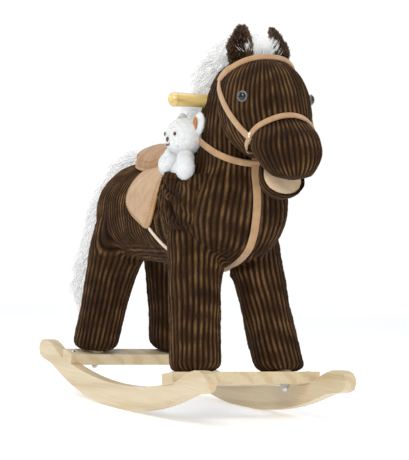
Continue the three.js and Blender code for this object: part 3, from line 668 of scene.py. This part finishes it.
def smoothed(line, times, keep_ends):
    for _ in range(times):
        k = np.vstack([line[:1], line, line[-1:]])
        soft = 0.25 * k[:-2] + 0.5 * k[1:-1] + 0.25 * k[2:]
        if keep_ends:
            soft[[0, -1]] = line[[0, -1]]
        line = soft
    return line


def strap(name, base, normal, across, width, thick, lift, mat, slot, node):
    rows = [base + across * s * width + normal * (lift + h * thick) for s, h in STRAP_PROFILE]
    co, tri, _ = closed_skin(np.stack(rows, axis=1).reshape(-1, 3), len(base), len(rows))
    as_object(name, co, tri, mat, slot, [node])


def band(name, tree, centre, ahead, width, thick, start, end, node, lift=1.6):
    """A flat strap on the surface, between two angles in the plane through centre that holds X and ahead.
    Angle 0 is ahead and 90 is the left side."""
    ahead = unit(np.array([0.0, *ahead]))
    across = np.cross([1.0, 0, 0], ahead)
    base, normal, angles = [], [], []
    for a in np.linspace(math.radians(start), math.radians(end), 120):
        direction = math.cos(a) * ahead + math.sin(a) * np.array([1.0, 0, 0])
        at = [outermost(tree, np.array(centre) + across * s * width * 0.45, direction) for s in (-1, 0, 1)]
        if any(p is None for p, _ in at):
            continue
        out = sum(n for _, n in at)
        out = unit(out - across * (out @ across))
        reach = max((p - at[1][0]) @ out for p, _ in at)
        base.append(at[1][0] + out * max(0, min(reach, 3)) * 0.6)
        normal.append(out)
        angles.append(a)
    base, normal = smoothed(np.array(base), 6, False), unit(smoothed(np.array(normal), 6, False))
    lift = lift(np.degrees(angles))[:, None] if callable(lift) else lift
    strap(name, base, normal, across, width, thick, lift, STRAP, "suede", node)


BRIDLE, BRIDLE_THICK = 9.5, 2.2
NOSE, CROWN = (0, -303, 409), (0, -216, 503)
band("bridle_noseband", HEAD_TREE, NOSE, (-1, 1), BRIDLE, BRIDLE_THICK, -88, 88, "noseband")
band("bridle_chin", FACE_TREE, NOSE, (-1, 1), BRIDLE, BRIDLE_THICK, 91, 269, "chin_strap",
     lift=lambda angle: 1.2 - 14 * step(2, 20, 89 - np.abs(angle - 180)))
band("bridle_browband", FACE_TREE, (0, -222, 507), (-46, 34), BRIDLE, BRIDLE_THICK, -86, 86, "browband")
band("bridle_crown", HEAD_TREE, CROWN, (0.1, 1), BRIDLE, BRIDLE_THICK, -84, 84, "crownpiece")
for side_name, side in SIDES.items():
    band(f"bridle_{side_name}_cheek", HEAD_TREE, (0, -270, 467.5), (-96, -87), 10.5, BRIDLE_THICK, side * 33,
         side * 146, f"{side_name}_cheek_strap", lift=1.9)
band("breast_collar", BODY_TREE, (0, -180, 415), (-1, -0.485), 10.5, 2.4, -150, 150, "collar_strap")


# ------------------------------------------------------------------ girth and martingale
def belly_strap(name, tree, centre, ahead, sideways, width, thick, start, end, mat, slot, node, lift):
    """A strap in any plane: angle 0 looks along ahead and 90 along sideways."""
    ahead, sideways = unit(np.array(ahead, float)), unit(np.array(sideways, float))
    across = np.cross(sideways, ahead)
    base, normal = [], []
    for a in np.linspace(math.radians(start), math.radians(end), 90):
        p, n = outermost(tree, centre, math.cos(a) * ahead + math.sin(a) * sideways)
        if p is not None:
            base.append(p)
            normal.append(unit(n - across * (n @ across)))
    base, normal = smoothed(np.array(base), 8, True), smoothed(np.array(normal), 8, True)
    strap(name, base, normal, across, width, thick, lift, mat, slot, node)


TORSO_TREE = tree_of(tube(TORSO, 96, 80, 2.2))
belly_strap("girth", TORSO_TREE, (0, -60, 261), (0, -1, -0.712), (1, 0, 0), 5.4, 1.8, -117, 117, WEBBING,
            "cream_webbing", "girth_strap", 2.6)
belly_strap("martingale", BODY_TREE, (0, -120, 330), (0, -1, 0), (0, 0, -1), 12.5, 2.2, -33, 88, STRAP,
            "suede", "martingale_strap", 1.4)


# ------------------------------------------------------------------ small round parts
def lathe(name, profile, at, axis, mat, slot, nodes=(), sides=48):
    """A turned part: profile is (height along the axis, radius), from end to end."""
    w = unit(np.array(axis, float))
    u = unit(np.cross(w, [0, 0, 1.0] if abs(w[2]) < 0.9 else [1.0, 0, 0]))
    v = np.cross(w, u)
    co = [np.array(at) + w * h + r * (np.cos(t) * u + np.sin(t) * v) for h, r in profile for t in around(sides)]
    co, tri, _ = closed_skin(np.array(co), len(profile), sides)
    return as_object(name, co, tri, mat, slot, nodes)


def arc(radius, start, end, count, h=0.0):
    """A lathe profile's circular arc, between angles above the plane at height h."""
    return [(h + radius * math.sin(t), radius * math.cos(t)) for t in np.radians(np.linspace(start, end, count))]


END_OF_BAR = [(99, 10.7), (94, 10.6), (80, 10.3), (50, 10.0), (0, 9.8)]
half_bar = [(100 + h, r) for h, r in arc(11, 88, 0, 14)] + END_OF_BAR
bar = [(-h, r) for h, r in half_bar] + half_bar[-2::-1]
lathe("turned_handlebar", bar, (0, -155, 482), (1, 0, 0), HONEY, "varnished_wood", ["handlebar"])


SLAT_Y, SLAT_Z = 212, 63.5
NUTS_AT, SCREWS_AT = 72, 113  # on either side of each slat's middle


def slat_point(x, end, rise):
    """A point that stands rise above a cross slat's middle, square to its slope."""
    return np.array([x, end * (SLAT_Y - math.sin(SLAT_TILT) * rise), SLAT_Z + math.cos(SLAT_TILT) * rise])


# (height, radius) profiles
WASHER = [(0, 3.4), (0, 8), (1.2, 8), (1.2, 3.4)]
ACORN = [(1.3, 3.2), *arc(5.0, 0, 88, 10, 5.6)]
HEXAGON = [(1.3, 3.2), (1.3, 5.6), (1.7, 6.0), (5.2, 6.0), (5.8, 5.2), (5.8, 3.2)]
SCREW_HEAD = [(-1, 2), (0, 4.6), (0.5, 4.6), (1.4, 3.9), (1.8, 2.6), (1.85, 1.7), (1.0, 1.3), (0.9, 0.3)]
EYE_DOME = [(-3, 7.0)] + [(0.72 * h, r) for h, r in arc(7.0, 0, 88, 14)]
EYE_RIM = [(-2, 6.9), (-1, 7.8), (0.4, 8.3), (1.5, 8.1), (2.2, 7.5), (2.2, 7.0)]
STUD = [(0, 5.0), (0.9, 5.4), (2.0, 4.8), (2.8, 3.4), (3.2, 1.6), (3.3, 0.1)]
for end_name, end in ENDS.items():
    for side_name, side in SIDES.items():
        key = f"{end_name}_{side_name}"
        down = slat_point(0, end, -1) - slat_point(0, end, 0)
        at = slat_point(side * NUTS_AT, end, -9.2)
        lathe(f"{key}_washer", WASHER, at, down, STEEL, "steel")
        lathe(f"{key}_acorn", ACORN, at, down, STEEL, "steel", [f"{key}_cap_nut"])
        lathe(f"{key}_hex", HEXAGON, at, down, STEEL, "steel", sides=6).data.shade_flat()
        at = slat_point(side * SCREWS_AT, end, 9.3)
        lathe(f"{key}_screw_head", SCREW_HEAD, at, -down, STEEL, "steel", [f"{key}_slat_screw"])

EYE_OUT = unit(np.array([55.0, -30, 0]))
for side_name, side in SIDES.items():
    out = EYE_OUT * [side, 1, 1]
    at, normal = outermost(HEAD_TREE, (0, -270, 484.5), out)
    look = unit(out + np.array([0, -0.35, 0]) + 0.5 * normal)
    lathe(f"{side_name}_eye_dome", EYE_DOME, at + look * 2.4, look, EYE, "eye", [f"{side_name}_eye"])
    lathe(f"{side_name}_eye_rim", EYE_RIM, at + look * 2.0, look, EYE_RING, "eye")
    at, normal = outermost(HEAD_TREE, (0, -303, 427), (side, -0.42, 0))
    lathe(f"{side_name}_stud", STUD, at + normal * 4.0, normal, BRASS, "steel", [f"{side_name}_bridle_rivet"])


# ------------------------------------------------------------------ saddle
def pad(name, outline, project, thick, mat, node, crown, lift, bead, bead_lift, sewing):
    """A stuffed shape laid on the body, with its piping and its row of stitches.
    outline is a closed list of flat points, and project lays one on the body."""
    rows, sides = 26, 150
    loop = curve_rows([(a, b, 0) for a, b in outline], sides, closed=True)[:, :2]
    centre = loop.mean(0)
    share = np.linspace(0.02, 1, rows)
    flat = centre + share[:, None, None] * (loop - centre)[None]
    base, normal = np.zeros((rows, sides, 3)), np.zeros((rows, sides, 3))
    for i in range(rows):
        for j in range(sides):
            base[i, j], normal[i, j] = project(*flat[i, j])
    for i in np.nonzero(share < 0.5)[0]:  # the nearer the middle, the plainer each ring
        for field in (base, normal):
            waves = np.fft.rfft(field[i], axis=0)
            waves[2 + int(24 * share[i] ** 2):] = 0
            field[i] = np.fft.irfft(waves, sides, axis=0)
    for _ in range(10):
        for field in (base, normal):
            inner = 0.5 * field + 0.25 * (np.roll(field, 1, 1) + np.roll(field, -1, 1))
            inner[1:-1] = 0.5 * inner[1:-1] + 0.25 * (inner[:-2] + inner[2:])
            field[:] = inner
    for field in (base, normal):  # the middle follows the ring around it
        middle = field[1].mean(0)
        field[0] = middle + (field[1] - middle) * share[0] / share[1]
    normal = unit(normal)
    rise = thick * (1 - share**crown) ** 0.5
    top = base + normal * (lift + 2.0 + rise)[:, None, None]
    edge = [base[-1] + normal[-1] * (lift + h) for h in (1.6, 0.8)]
    bottom = base[::-1] + normal[::-1] * lift
    co = np.concatenate([top.reshape(-1, 3), *edge, bottom.reshape(-1, 3)])
    co, tri, n = closed_skin(co, len(co) // sides, sides)
    co = co + n * (0.35 * wobble(co, 24, 51) + 0.5 * wobble(co, 60, 52))[:, None]
    made = as_object(f"{name}_pad", co, tri, mat, "suede", [node])
    cord_along(f"{name}_piping", base[-1] + normal[-1] * bead_lift, bead, PIPING, "suede")
    stitches(f"{name}_stitches", top[-3] + normal[-3] * 0.1, normal[-3], *sewing)


def tube_rows(line, u, v, reach, theta):
    """Rings of points round a line, at reach along u and v."""
    theta = theta[:, None]
    return line[:, None] + reach * (np.cos(theta) * u[:, None] + np.sin(theta) * v[:, None])


def cord_along(name, line, radius, mat, slot, sides=10, body="horse"):
    """A round bead sewn along a closed line."""
    ahead = unit(np.roll(line, -1, 0) - np.roll(line, 1, 0))
    u = unit(np.cross(ahead, line - line.mean(0)))
    co = tube_rows(line, u, np.cross(ahead, u), radius, around(sides)).reshape(-1, 3)
    faces = grid_faces(len(line) + 1, sides) % len(co)
    as_object(name, co, outward(co, quads_to_tris(faces)), mat, slot, body=body)


def stitches(name, line, normals, length, gap, radius):
    """A row of thread stitches along a closed line."""
    closed = np.vstack([line, line[:1]])
    run = np.concatenate([[0], np.cumsum(np.linalg.norm(np.diff(closed, axis=0), axis=1))])
    count = int(run[-1] / (length + gap))

    def at(s, field):
        return np.stack([np.interp(s % run[-1], run, np.append(field[:, k], field[0, k])) for k in range(3)], -1)

    t = np.linspace(0, 1, 5)
    thick = radius * np.array([0.4, 1, 1, 1, 0.4])[:, None, None]
    made = []
    for s in np.arange(count) * run[-1] / count:
        one = at(s + t * length, line) + at(s + t * length, normals) * (0.7 * np.sin(np.pi * t))[:, None]
        ahead = unit(one[-1] - one[0])
        u = unit(np.cross(ahead, normals[0]))
        co = tube_rows(one, u[None], np.cross(ahead, u)[None], thick, around(6)).reshape(-1, 3)
        made.append(closed_skin(co, 5, 6)[:2])
    as_object(name, *joined(made), THREAD, "suede")


def dropped_on(tree, start, way):
    """The first surface met on the way, and its normal, turned to face back."""
    at, normal, _, _ = tree.ray_cast(Vector(start), Vector(way))
    return np.array(at), np.array(normal) * (1 if normal.dot(Vector(way)) < 0 else -1)


# (x, y) round the seat
SEAT = [(0, -30), (26, -27), (44, -8), (52, 22), (55, 56), (54, 92), (44, 124), (24, 143), (0, 148),
        (-24, 143), (-44, 124), (-54, 92), (-55, 56), (-52, 22), (-44, -8), (-26, -27)]
pad("saddle", SEAT, lambda x, y: dropped_on(BODY_TREE, (x, y, 520), (0, 0, -1)), 27, SHADED_SEAT_SUEDE, "saddle_seat",
    crown=2.5, lift=3.0, bead=2.5, bead_lift=4.6, sewing=(4.2, 2.6, 0.5))
# (y, z) round a flap
FLAP = [(46, 380), (60, 358), (61, 328), (42, 309), (10, 295), (-22, 286), (-45, 305), (-55, 335), (-46, 366),
        (-34, 380)]
for side_name, side in SIDES.items():
    pad(f"{side_name}_flap", FLAP, lambda y, z: dropped_on(TORSO_TREE, (side * 200, y, z), (-side, 0, 0)), 4.2,
        SUEDE, f"{side_name}_saddle_flap", crown=5, lift=2.4, bead=2.1, bead_lift=3.6,
        sewing=(3.6, 2.4, 0.42))


# ------------------------------------------------------------------ pile
CURL = 0.12  # how far a hair strays from its own bend


def strands(name, roots, heads, falls, lengths, radius, mat, slot, seed, clump, pull, rows=6, nodes=(),
            body="horse"):
    """Tapered hairs: each leaves its root along heads, bends towards falls, and gathers with its neighbours.
    clump is how many gather into one lock, and pull is how tightly."""
    r = np.random.default_rng(seed)
    count = len(roots)
    heads, falls = unit(heads), unit(falls)
    t = np.linspace(0, 1, rows)
    points = np.zeros((rows, count, 3))
    points[0] = roots
    wave = r.normal(size=(count, 3)) * CURL
    for k in range(1, rows):
        share = (t[k] + t[k - 1]) / 2
        d = unit(heads * (1 - share) + falls * share + wave * math.sin(3 * share))
        points[k] = points[k - 1] + d * (lengths / (rows - 1))[:, None]
    groups = max(1, count // clump)
    leaders = r.choice(count, groups, replace=False)
    near = KDTree(groups)
    for i, j in enumerate(leaders):
        near.insert(roots[j], i)
    near.balance()
    mine = np.array([leaders[near.find(p)[1]] for p in roots])
    gather = pull * r.uniform(0.4, 1.2, count)
    for k in range(1, rows):
        share = (gather * t[k] ** 1.4)[:, None]
        points[k] = points[k] * (1 - share) + (points[k][mine] + 0.25 * (roots - roots[mine])) * share
    ahead = unit(np.gradient(points, axis=0))
    u = unit(np.cross(ahead, r.normal(size=(count, 3))[None]))
    v = np.cross(ahead, u)
    thick = (radius * (1 - t**2.2 * 0.85))[:, None, None, None]
    theta = around(3)[:, None]
    co = points[:, :, None] + thick * (np.cos(theta) * u[:, :, None] + np.sin(theta) * v[:, :, None])
    co = co.transpose(1, 0, 2, 3).reshape(-1, 3)
    ends = [[0, 2, 1], [rows * 3 - 3, rows * 3 - 2, rows * 3 - 1]]
    tri = np.vstack([quads_to_tris(grid_faces(rows, 3)), ends])
    tri = (tri[None] + (np.arange(count) * rows * 3)[:, None, None]).reshape(-1, 3)
    made = as_object(name, co, tri, mat, slot, nodes, body)
    # along runs from the root to the tip, so the pile's ramp paints shade at the roots.
    paint(made, "along", np.tile(np.repeat(t, 3), count))


def scatter(count, share):
    """Random directions to spread hairs with."""
    return rng.normal(size=(count, 3)) * share


# [z, y, half width, half depth] down the mane
MANE = [(578, -188, 6, 8), (570, -180, 26, 30), (552, -150, 40, 48), (520, -128, 47, 60), (500, -118, 48, 60),
        (475, -93, 47, 58), (445, -76, 42, 52), (418, -66, 34, 42), (404, -62, 12, 16)]
BACKING = 0.72  # of the mane's width is dense backing, and the rest is loose pile
slim = [(0, y, z, w * BACKING, d * BACKING, 0) for z, y, w, d in MANE]
co, tri, n = closed_skin(rings(slim, 64, 60), 60, 64)
co = co + n * (1.6 * wobble(co, 22, 61) + 0.8 * wobble(co, 8, 62))[:, None]
# The backing's along values lean towards the shade colour: painted shade inside the mane.
paint(as_object("mane_backing", co, tri, FUR, "fur", ["mane"]), "along", 0.35 + 0.2 * wobble(co, 15, 63))
pick = rng.choice(len(co), 7000)
HEAD_TOP = 548  # hair grows only behind the neck's middle below this, and all round above it
pick = pick[(co[pick, 1] > along(NECK, co[pick, 2], 1)) | (co[pick, 2] > HEAD_TOP)]
out = n[pick] * [1, 1, 0.5] + [0, 0.25, 0.1] + scatter(len(pick), 0.28)
fall = n[pick] * [0.5, 0.7, 0.1] + [0, 0.2, -0.8]
strands("mane_pile", co[pick] - n[pick] * 3, out, fall, rng.uniform(18, 40, len(pick)), 0.7, FUR, "fur", 62, 20, 0.75)

roots = scatter(2600, [5.5, 5, 1.5]) + [0, -236, 542]
out = (roots - [0, -240, 520]) * [1.1, 0.9, 1] + scatter(2600, 3)
strands("forelock_pile", roots, out, out + np.array([0, -4, 0.0]), rng.uniform(18, 38, 2600), 0.6, FUR, "fur", 63, 18,
        0.8, nodes=["forelock"])

for seed, (ear_name, (co, n, flat)) in enumerate(EARS.items()):
    fuller_at_edges = 0.2 + np.abs(flat) ** 3
    pick = rng.choice(len(co), 5200, p=fuller_at_edges / fuller_at_edges.sum())
    out = n[pick] + scatter(len(pick), 0.3) + [0, 0, 0.35]
    strands(f"{ear_name}_ear_pile", co[pick] - n[pick] * 0.8, out, out + np.array([0, 0, 0.5]),
            rng.uniform(2.4, 4.8, len(pick)), 0.3, BROWN_PILE, "corduroy", 66 + seed, 9, 0.7, rows=3)

# [x, y, z, radius] down the tail
TAIL = [(0, 166, 400, 5), (0, 178, 402, 14), (0, 206, 397, 22), (-4, 240, 382, 27), (-9, 266, 354, 31),
        (-18, 285, 318, 34), (-28, 290, 275, 37), (-38, 290, 232, 38), (-45, 289, 190, 37), (-49, 288, 155, 32),
        (-50, 287, 128, 20), (-50, 286, 116, 6)]


def tail_parts():
    rows, sides = 90, 40
    line = curve_rows(TAIL, rows)
    ahead = unit(np.gradient(line[:, :3], axis=0))
    u = unit(np.cross([1.0, 0, 0], ahead))
    reach = line[:, None, 3:4] * 0.6
    co = tube_rows(line[:, :3], u, np.cross(ahead, u), reach, around(sides)).reshape(-1, 3)
    co, tri, n = closed_skin(co, rows, sides)
    co = co + n * (1.6 * wobble(co, 20, 71))[:, None]
    # The backing's along values lean towards the shade colour: painted shade inside the tail.
    paint(as_object("tail_backing", co, tri, FUR, "fur", ["tail"], "tail"), "along", 0.35 + 0.2 * wobble(co, 15, 72))
    pick = rng.choice(np.arange(sides, (rows - 4) * sides), 8000)
    row = pick // sides
    out = n[pick] * 0.75 + ahead[row] * 0.8 + scatter(len(pick), 0.2)
    fall = ahead[row] + n[pick] * 0.1 + [0, 0.03, -0.25]
    short = np.clip((rows - row) / 22, 0.35, 1) * np.clip(row / 14, 0.3, 1)
    strands("tail_pile", co[pick] - n[pick] * 3, out, fall, rng.uniform(28, 58, len(pick)) * short, 0.75, FUR, "fur",
            73, 20, 0.75, body="tail")


tail_parts()


# ------------------------------------------------------------------ shoulder pocket
# [z, reach outwards, half length] from the bottom seam to the hem, then over it and down inside
POCKET = [(283, 12, 36), (287, 22, 46), (293, 28, 52.5), (303, 32, 57), (319, 35, 60), (338, 35.5, 60.5),
          (354, 33.5, 59), (365, 31, 57), (370, 29.5, 55.5), (371.6, 28, 54), (370, 26.4, 52.4), (360, 26, 52),
          (350, 24, 50)]
POCKET_MIDDLE = np.array([-62, -150])
POCKET_TURN = math.radians(28)  # it faces outwards and a little forwards, like the shoulder under it
POCKET_CREASES = [
    ([(-101, -148, 326), (-101, -152, 314), (-98, -160, 303)], 4.5, 4.6),
    ([(-92, -176, 314), (-86, -184, 304), (-80, -190, 298)], 4.2, 3.8),
    ([(-104, -128, 357), (-103, -142, 344), (-99, -158, 338)], 3.2, 2.4),
    ([(-104, -112, 330), (-103, -126, 312)], 3.6, 2.6),
    ([(-90, -180, 350), (-92, -174, 330)], 3.4, 2.2),
    ([(-98, -100, 292), (-99, -130, 291), (-95, -160, 290), (-78, -192, 291)], 2.0, 2.6),  # bottom seam
    ([(-99, -90, 361), (-104, -120, 361), (-98, -150, 361), (-80, -186, 361)], 1.5, 1.3)]  # hem stitching


def pocket():
    """A baggy corduroy pouch sewn on the shoulder, its mouth rolled over into a hem."""
    sides, count = ((300, 170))
    rows = curve_rows([(z, a, b) for z, a, b in POCKET], count)
    outwards, ahead = (np.sign(v) * np.abs(v) ** 0.9 for v in (np.cos(around(sides)), np.sin(around(sides))))
    reach = np.where(outwards > 0, rows[:, 1, None], 12.0) * outwards
    length = 0.97 * rows[:, 2, None] * ahead
    c, s = math.cos(POCKET_TURN), math.sin(POCKET_TURN)
    co = np.stack([POCKET_MIDDLE[0] - c * reach + s * length, POCKET_MIDDLE[1] - s * reach - c * length,
                   np.broadcast_to(rows[:, 0, None], reach.shape)], axis=-1).reshape(-1, 3)
    wide = co.reshape(count, sides, 3)[count // 2]
    run = np.concatenate([[0], np.cumsum(np.linalg.norm(np.diff(wide, axis=0), axis=1))])
    co, tri, n = closed_skin(co, count, sides)
    rib = wale(np.append(np.tile(run, count), [0, 0]) + 1.5 * wobble(co, 40, 95))
    clump = 0.5 + 0.5 * wobble(co, 26, 96)
    out = rib_rise(rib, clump, 1.8)
    out += 1.6 * wobble(co, 34, 97) + 0.7 * wobble(co, 15, 98)
    sunk = sum(crease(co, line, width, depth) for line, width, depth in POCKET_CREASES)
    made = as_object("plush_pocket", co + n * (out + sunk)[:, None], tri, PLUSH, "corduroy", ["shoulder_pocket"])
    # The creases are darkened as painted shade, on top of the ribs' painted shade and highlight.
    paint(made, "rib", np.clip(rib * (0.8 + 0.3 * clump) + 0.16 * np.minimum(sunk, 0), 0, 1))


pocket()


# ------------------------------------------------------------------ teddy bear
BEAR_AHEAD = np.array([-0.995, -0.1, 0])
BEAR_LEFT = np.array([0.1, -0.995, 0])
BEAR_UP = np.array([0, 0, 1.0])
BEAR_HEAD = np.array([-77, -143, 426.5])


def bear_at(ahead, left, up_):
    return BEAR_HEAD + BEAR_AHEAD * ahead + BEAR_LEFT * left + BEAR_UP * up_


def blob(at, radii, lean=0.0):
    """An ellipsoid whose radii are along ahead, left and up, turned by lean about ahead."""
    across = np.cross(BEAR_UP, BEAR_AHEAD)
    left = across * math.cos(lean) + BEAR_UP * math.sin(lean)
    up = BEAR_UP * math.cos(lean) - across * math.sin(lean)
    rows, sides = 24, 40
    co = [np.array(at) + radii[0] * math.sin(f) * math.cos(t) * BEAR_AHEAD
          + radii[1] * math.sin(f) * math.sin(t) * left + radii[2] * math.cos(f) * up
          for f in np.linspace(0.03, np.pi - 0.03, rows) for t in around(sides)]
    return capped(np.array(co), rows, sides)


def bear_piece(name, blobs, voxel, node, hairs, seed):
    """A stuffed piece of the bear with its short pile."""
    co, quads = remeshed(blobs, voxel, 5, 0)
    tri = outward(co, quads_to_tris(quads))
    n = normals_of(co, tri)
    co = co + n * (0.2 * wobble(co, 14, seed))[:, None]
    made = as_object(name, co, tri, BEAR, "bear_plush", [node], "bear")
    paint(made, "along", 0.55 + 0.25 * wobble(co, 9, seed + 1))
    r = np.random.default_rng(seed + 2)
    pick = r.choice(len(co), hairs)
    out = n[pick] + r.normal(size=(hairs, 3)) * 0.35
    fall = n[pick] * 0.6 + r.normal(size=(hairs, 3)) * 0.3 + [0, 0, -0.35]
    strands(f"{name}_pile", co[pick] - n[pick] * 0.8, out, fall, r.uniform(0.7, 1.2, hairs) * 2.3, 0.42, BEAR,
            "bear_plush", seed + 2, 6, 0.4, rows=3, body="bear")


EAR_SPOTS = {"left": bear_at(-10, 25, 20), "right": bear_at(-10, -25, 20)}
head_and_muzzle = [blob(BEAR_HEAD, (28, 29.5, 29)), blob(bear_at(15, 0, -8), (14.5, 18, 15))]
ears = [blob(EAR_SPOTS["left"], (6, 13.5, 18), -0.32), blob(EAR_SPOTS["right"], (6, 13.5, 18), 0.32)]
left_paw = [blob((-88, -173, 380), (14, 15.5, 19)), blob((-82, -160, 394), (13, 13, 14))]
right_paw = [blob((-93, -116, 384), (13, 14, 17)), blob((-87, -122, 398), (12, 13, 14))]
bear_piece("bear_head_plush", head_and_muzzle + ears, 1.5, "bear_head", 7000, 81)
bear_piece("bear_body_plush", [blob((-75, -134, 352), (19.5, 29, 45))], 2.2, "bear_body", 3000, 84)
bear_piece("bear_left_paw", left_paw, 1.8, "bear_left_arm", 3000, 87)
bear_piece("bear_right_paw", right_paw, 1.8, "bear_right_arm", 2600, 90)


DOT_PROFILE = [(-1.2, 0.9), (0.2, 1.0), (0.9, 0.8), (1.15, 0.4), (1.2, 0.03)]  # (height, share of the radii)


def face_dot(name, direction, radii, mat, push, start=BEAR_HEAD):
    """A flat embroidered oval, push out from start along the direction."""
    w = unit(np.array(direction, float))
    left = unit(np.cross(BEAR_UP, w))
    up = np.cross(w, left)
    co = [start + w * (push + h) + share * (radii[0] * math.cos(t) * left + radii[1] * math.sin(t) * up)
          for h, share in DOT_PROFILE for t in around(24)]
    co, tri, _ = closed_skin(np.array(co), len(DOT_PROFILE), 24)
    as_object(name, co, tri, mat, "bear_plush", body="bear")


for eye_name, side in (("left", 1), ("right", -1)):
    out = BEAR_AHEAD * 0.86 + BEAR_LEFT * 0.5 * side + BEAR_UP * 0.12
    face_dot(f"bear_{eye_name}_eye", out, (2.1, 3.2), BROWN_THREAD, 30.6)
face_dot("bear_nose", BEAR_AHEAD + BEAR_UP * 0.02, (3.2, 3.8), BROWN_THREAD, 14.4, bear_at(15.5, 0, -5))
theta = np.linspace(math.radians(200), math.radians(340), 15)
smile = [bear_at(30.2 - 1.6 * math.cos(t) ** 2, 5.2 * math.cos(t), -10 + 4.0 * math.sin(t)) for t in theta]
lips = np.repeat([[0, 0, 0.35], [0, 0, -0.35]], 15, axis=0)
cord_along("bear_smile", np.array(smile + smile[::-1]) + lips, 0.7, BROWN_THREAD, "bear_plush", 6, "bear")
for ear_name, spot in EAR_SPOTS.items():
    face_dot(f"bear_{ear_name}_ear_patch", BEAR_AHEAD, (6.5, 10.5), EAR_PATCH, 6.9, spot)


# ------------------------------------------------------------------ wooden base
for node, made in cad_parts.items():
    made.data.materials.clear()
    made.data.materials.append(STEEL if node.endswith(("_bolt", "_pin")) else PINE)
for node in ("right_rocker", "left_rocker", "front_slat", "rear_slat"):
    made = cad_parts[node]
    flat = made.modifiers.new("flat", "DECIMATE")
    flat.decimate_type = "DISSOLVE"
    flat.angle_limit = math.radians(0.4)
    soft = made.modifiers.new("soft", "BEVEL")
    soft.width = 0.0016
    soft.segments = 3
    soft.limit_method = "ANGLE"
    soft.angle_limit = math.radians(32)
    soft.harden_normals = True
    made.data.shade_smooth()


# ------------------------------------------------------------------ camera, light and floor
AZIMUTH, ELEVATION, ROLL = math.radians(-24.158), math.radians(0.744), math.radians(1.884)
DISTANCE, AIM, ASIDE = 3.5033, Vector((0, 0.022, 0.28362)), 0.02316
back = Vector((math.sin(AZIMUTH) * math.cos(ELEVATION), -math.cos(AZIMUTH) * math.cos(ELEVATION), math.sin(ELEVATION)))
right = Vector((math.cos(AZIMUTH), math.sin(AZIMUTH), 0))
up = back.cross(right)
turned_right = math.cos(ROLL) * right + math.sin(ROLL) * up
turned_up = -math.sin(ROLL) * right + math.cos(ROLL) * up
camera_data = bpy.data.cameras.new("camera")
camera = bpy.data.objects.new("camera", camera_data)
bpy.context.scene.collection.objects.link(camera)
place = back * DISTANCE + right * ASIDE + AIM
rotation = Matrix((turned_right, turned_up, back)).transposed()
camera.matrix_world = Matrix.Translation(place) @ rotation.to_4x4()
camera_data.sensor_fit = "HORIZONTAL"
camera_data.sensor_width = 36
camera_data.lens = 193.05
bpy.context.scene.camera = camera


def softbox(name, at, aim, width, height, power, color=(1, 1, 1)):
    light = bpy.data.lights.new(name, "AREA")
    light.shape = "RECTANGLE"
    light.size, light.size_y = width, height
    light.energy = power
    light.color = color
    obj = bpy.data.objects.new(name, light)
    bpy.context.scene.collection.objects.link(obj)
    obj.location = at
    obj.rotation_mode = "QUATERNION"
    obj.rotation_quaternion = (Vector(aim) - Vector(at)).to_track_quat("-Z", "Y")


softbox("key", (-1.5, -2.0, 1.9), (0, 0, 0.33), 1.2, 1.2, 38, (1, 0.985, 0.96))
softbox("fill", (1.9, -1.7, 1.0), (0, 0, 0.3), 1.6, 1.6, 6, (1, 0.99, 0.97))
softbox("top", (0.1, 0.3, 2.2), (0, 0, 0.3), 1.8, 1.8, 18)
softbox("rim", (-1.6, 1.4, 1.3), (0, 0.1, 0.35), 1.0, 1.0, 9)

world = bpy.data.worlds.new("studio")
world.use_nodes = True
world.node_tree.nodes["Background"].inputs["Color"].default_value = (1, 1, 1, 1)
world.node_tree.nodes["Background"].inputs["Strength"].default_value = 0.45
bpy.context.scene.view_settings.view_transform = "Standard"
bpy.context.scene.world = world


def sheet_of(name, corners, mat):
    mesh = bpy.data.meshes.new(name)
    mesh.from_pydata(corners, [], [(0, 1, 2, 3)])
    obj = bpy.data.objects.new(name, mesh)
    bpy.context.scene.collection.objects.link(obj)
    mesh.materials.append(mat)


PAPER, _, paper = material("studio_floor", (0.86, 0.875, 0.89), 0.6)
paper.inputs["Emission Color"].default_value = (0.985, 0.992, 1, 1)
paper.inputs["Emission Strength"].default_value = 0.38
GLOW, _, glow = material("studio_backdrop", (0, 0, 0), 1.0)
glow.inputs["Emission Color"].default_value = (1, 1, 1, 1)
glow.inputs["Emission Strength"].default_value = 1.0
sheet_of("floor", [(-30, -30, 0), (30, -30, 0), (30, 30, 0), (-30, 30, 0)], PAPER)
corners = ((-1, -0.2), (1, -0.2), (1, 1.5), (-1, 1.5))
sheet_of("backdrop", [tuple(right * 1.2 * s - back * 4 + Vector((0, 0, z))) for s, z in corners], GLOW)
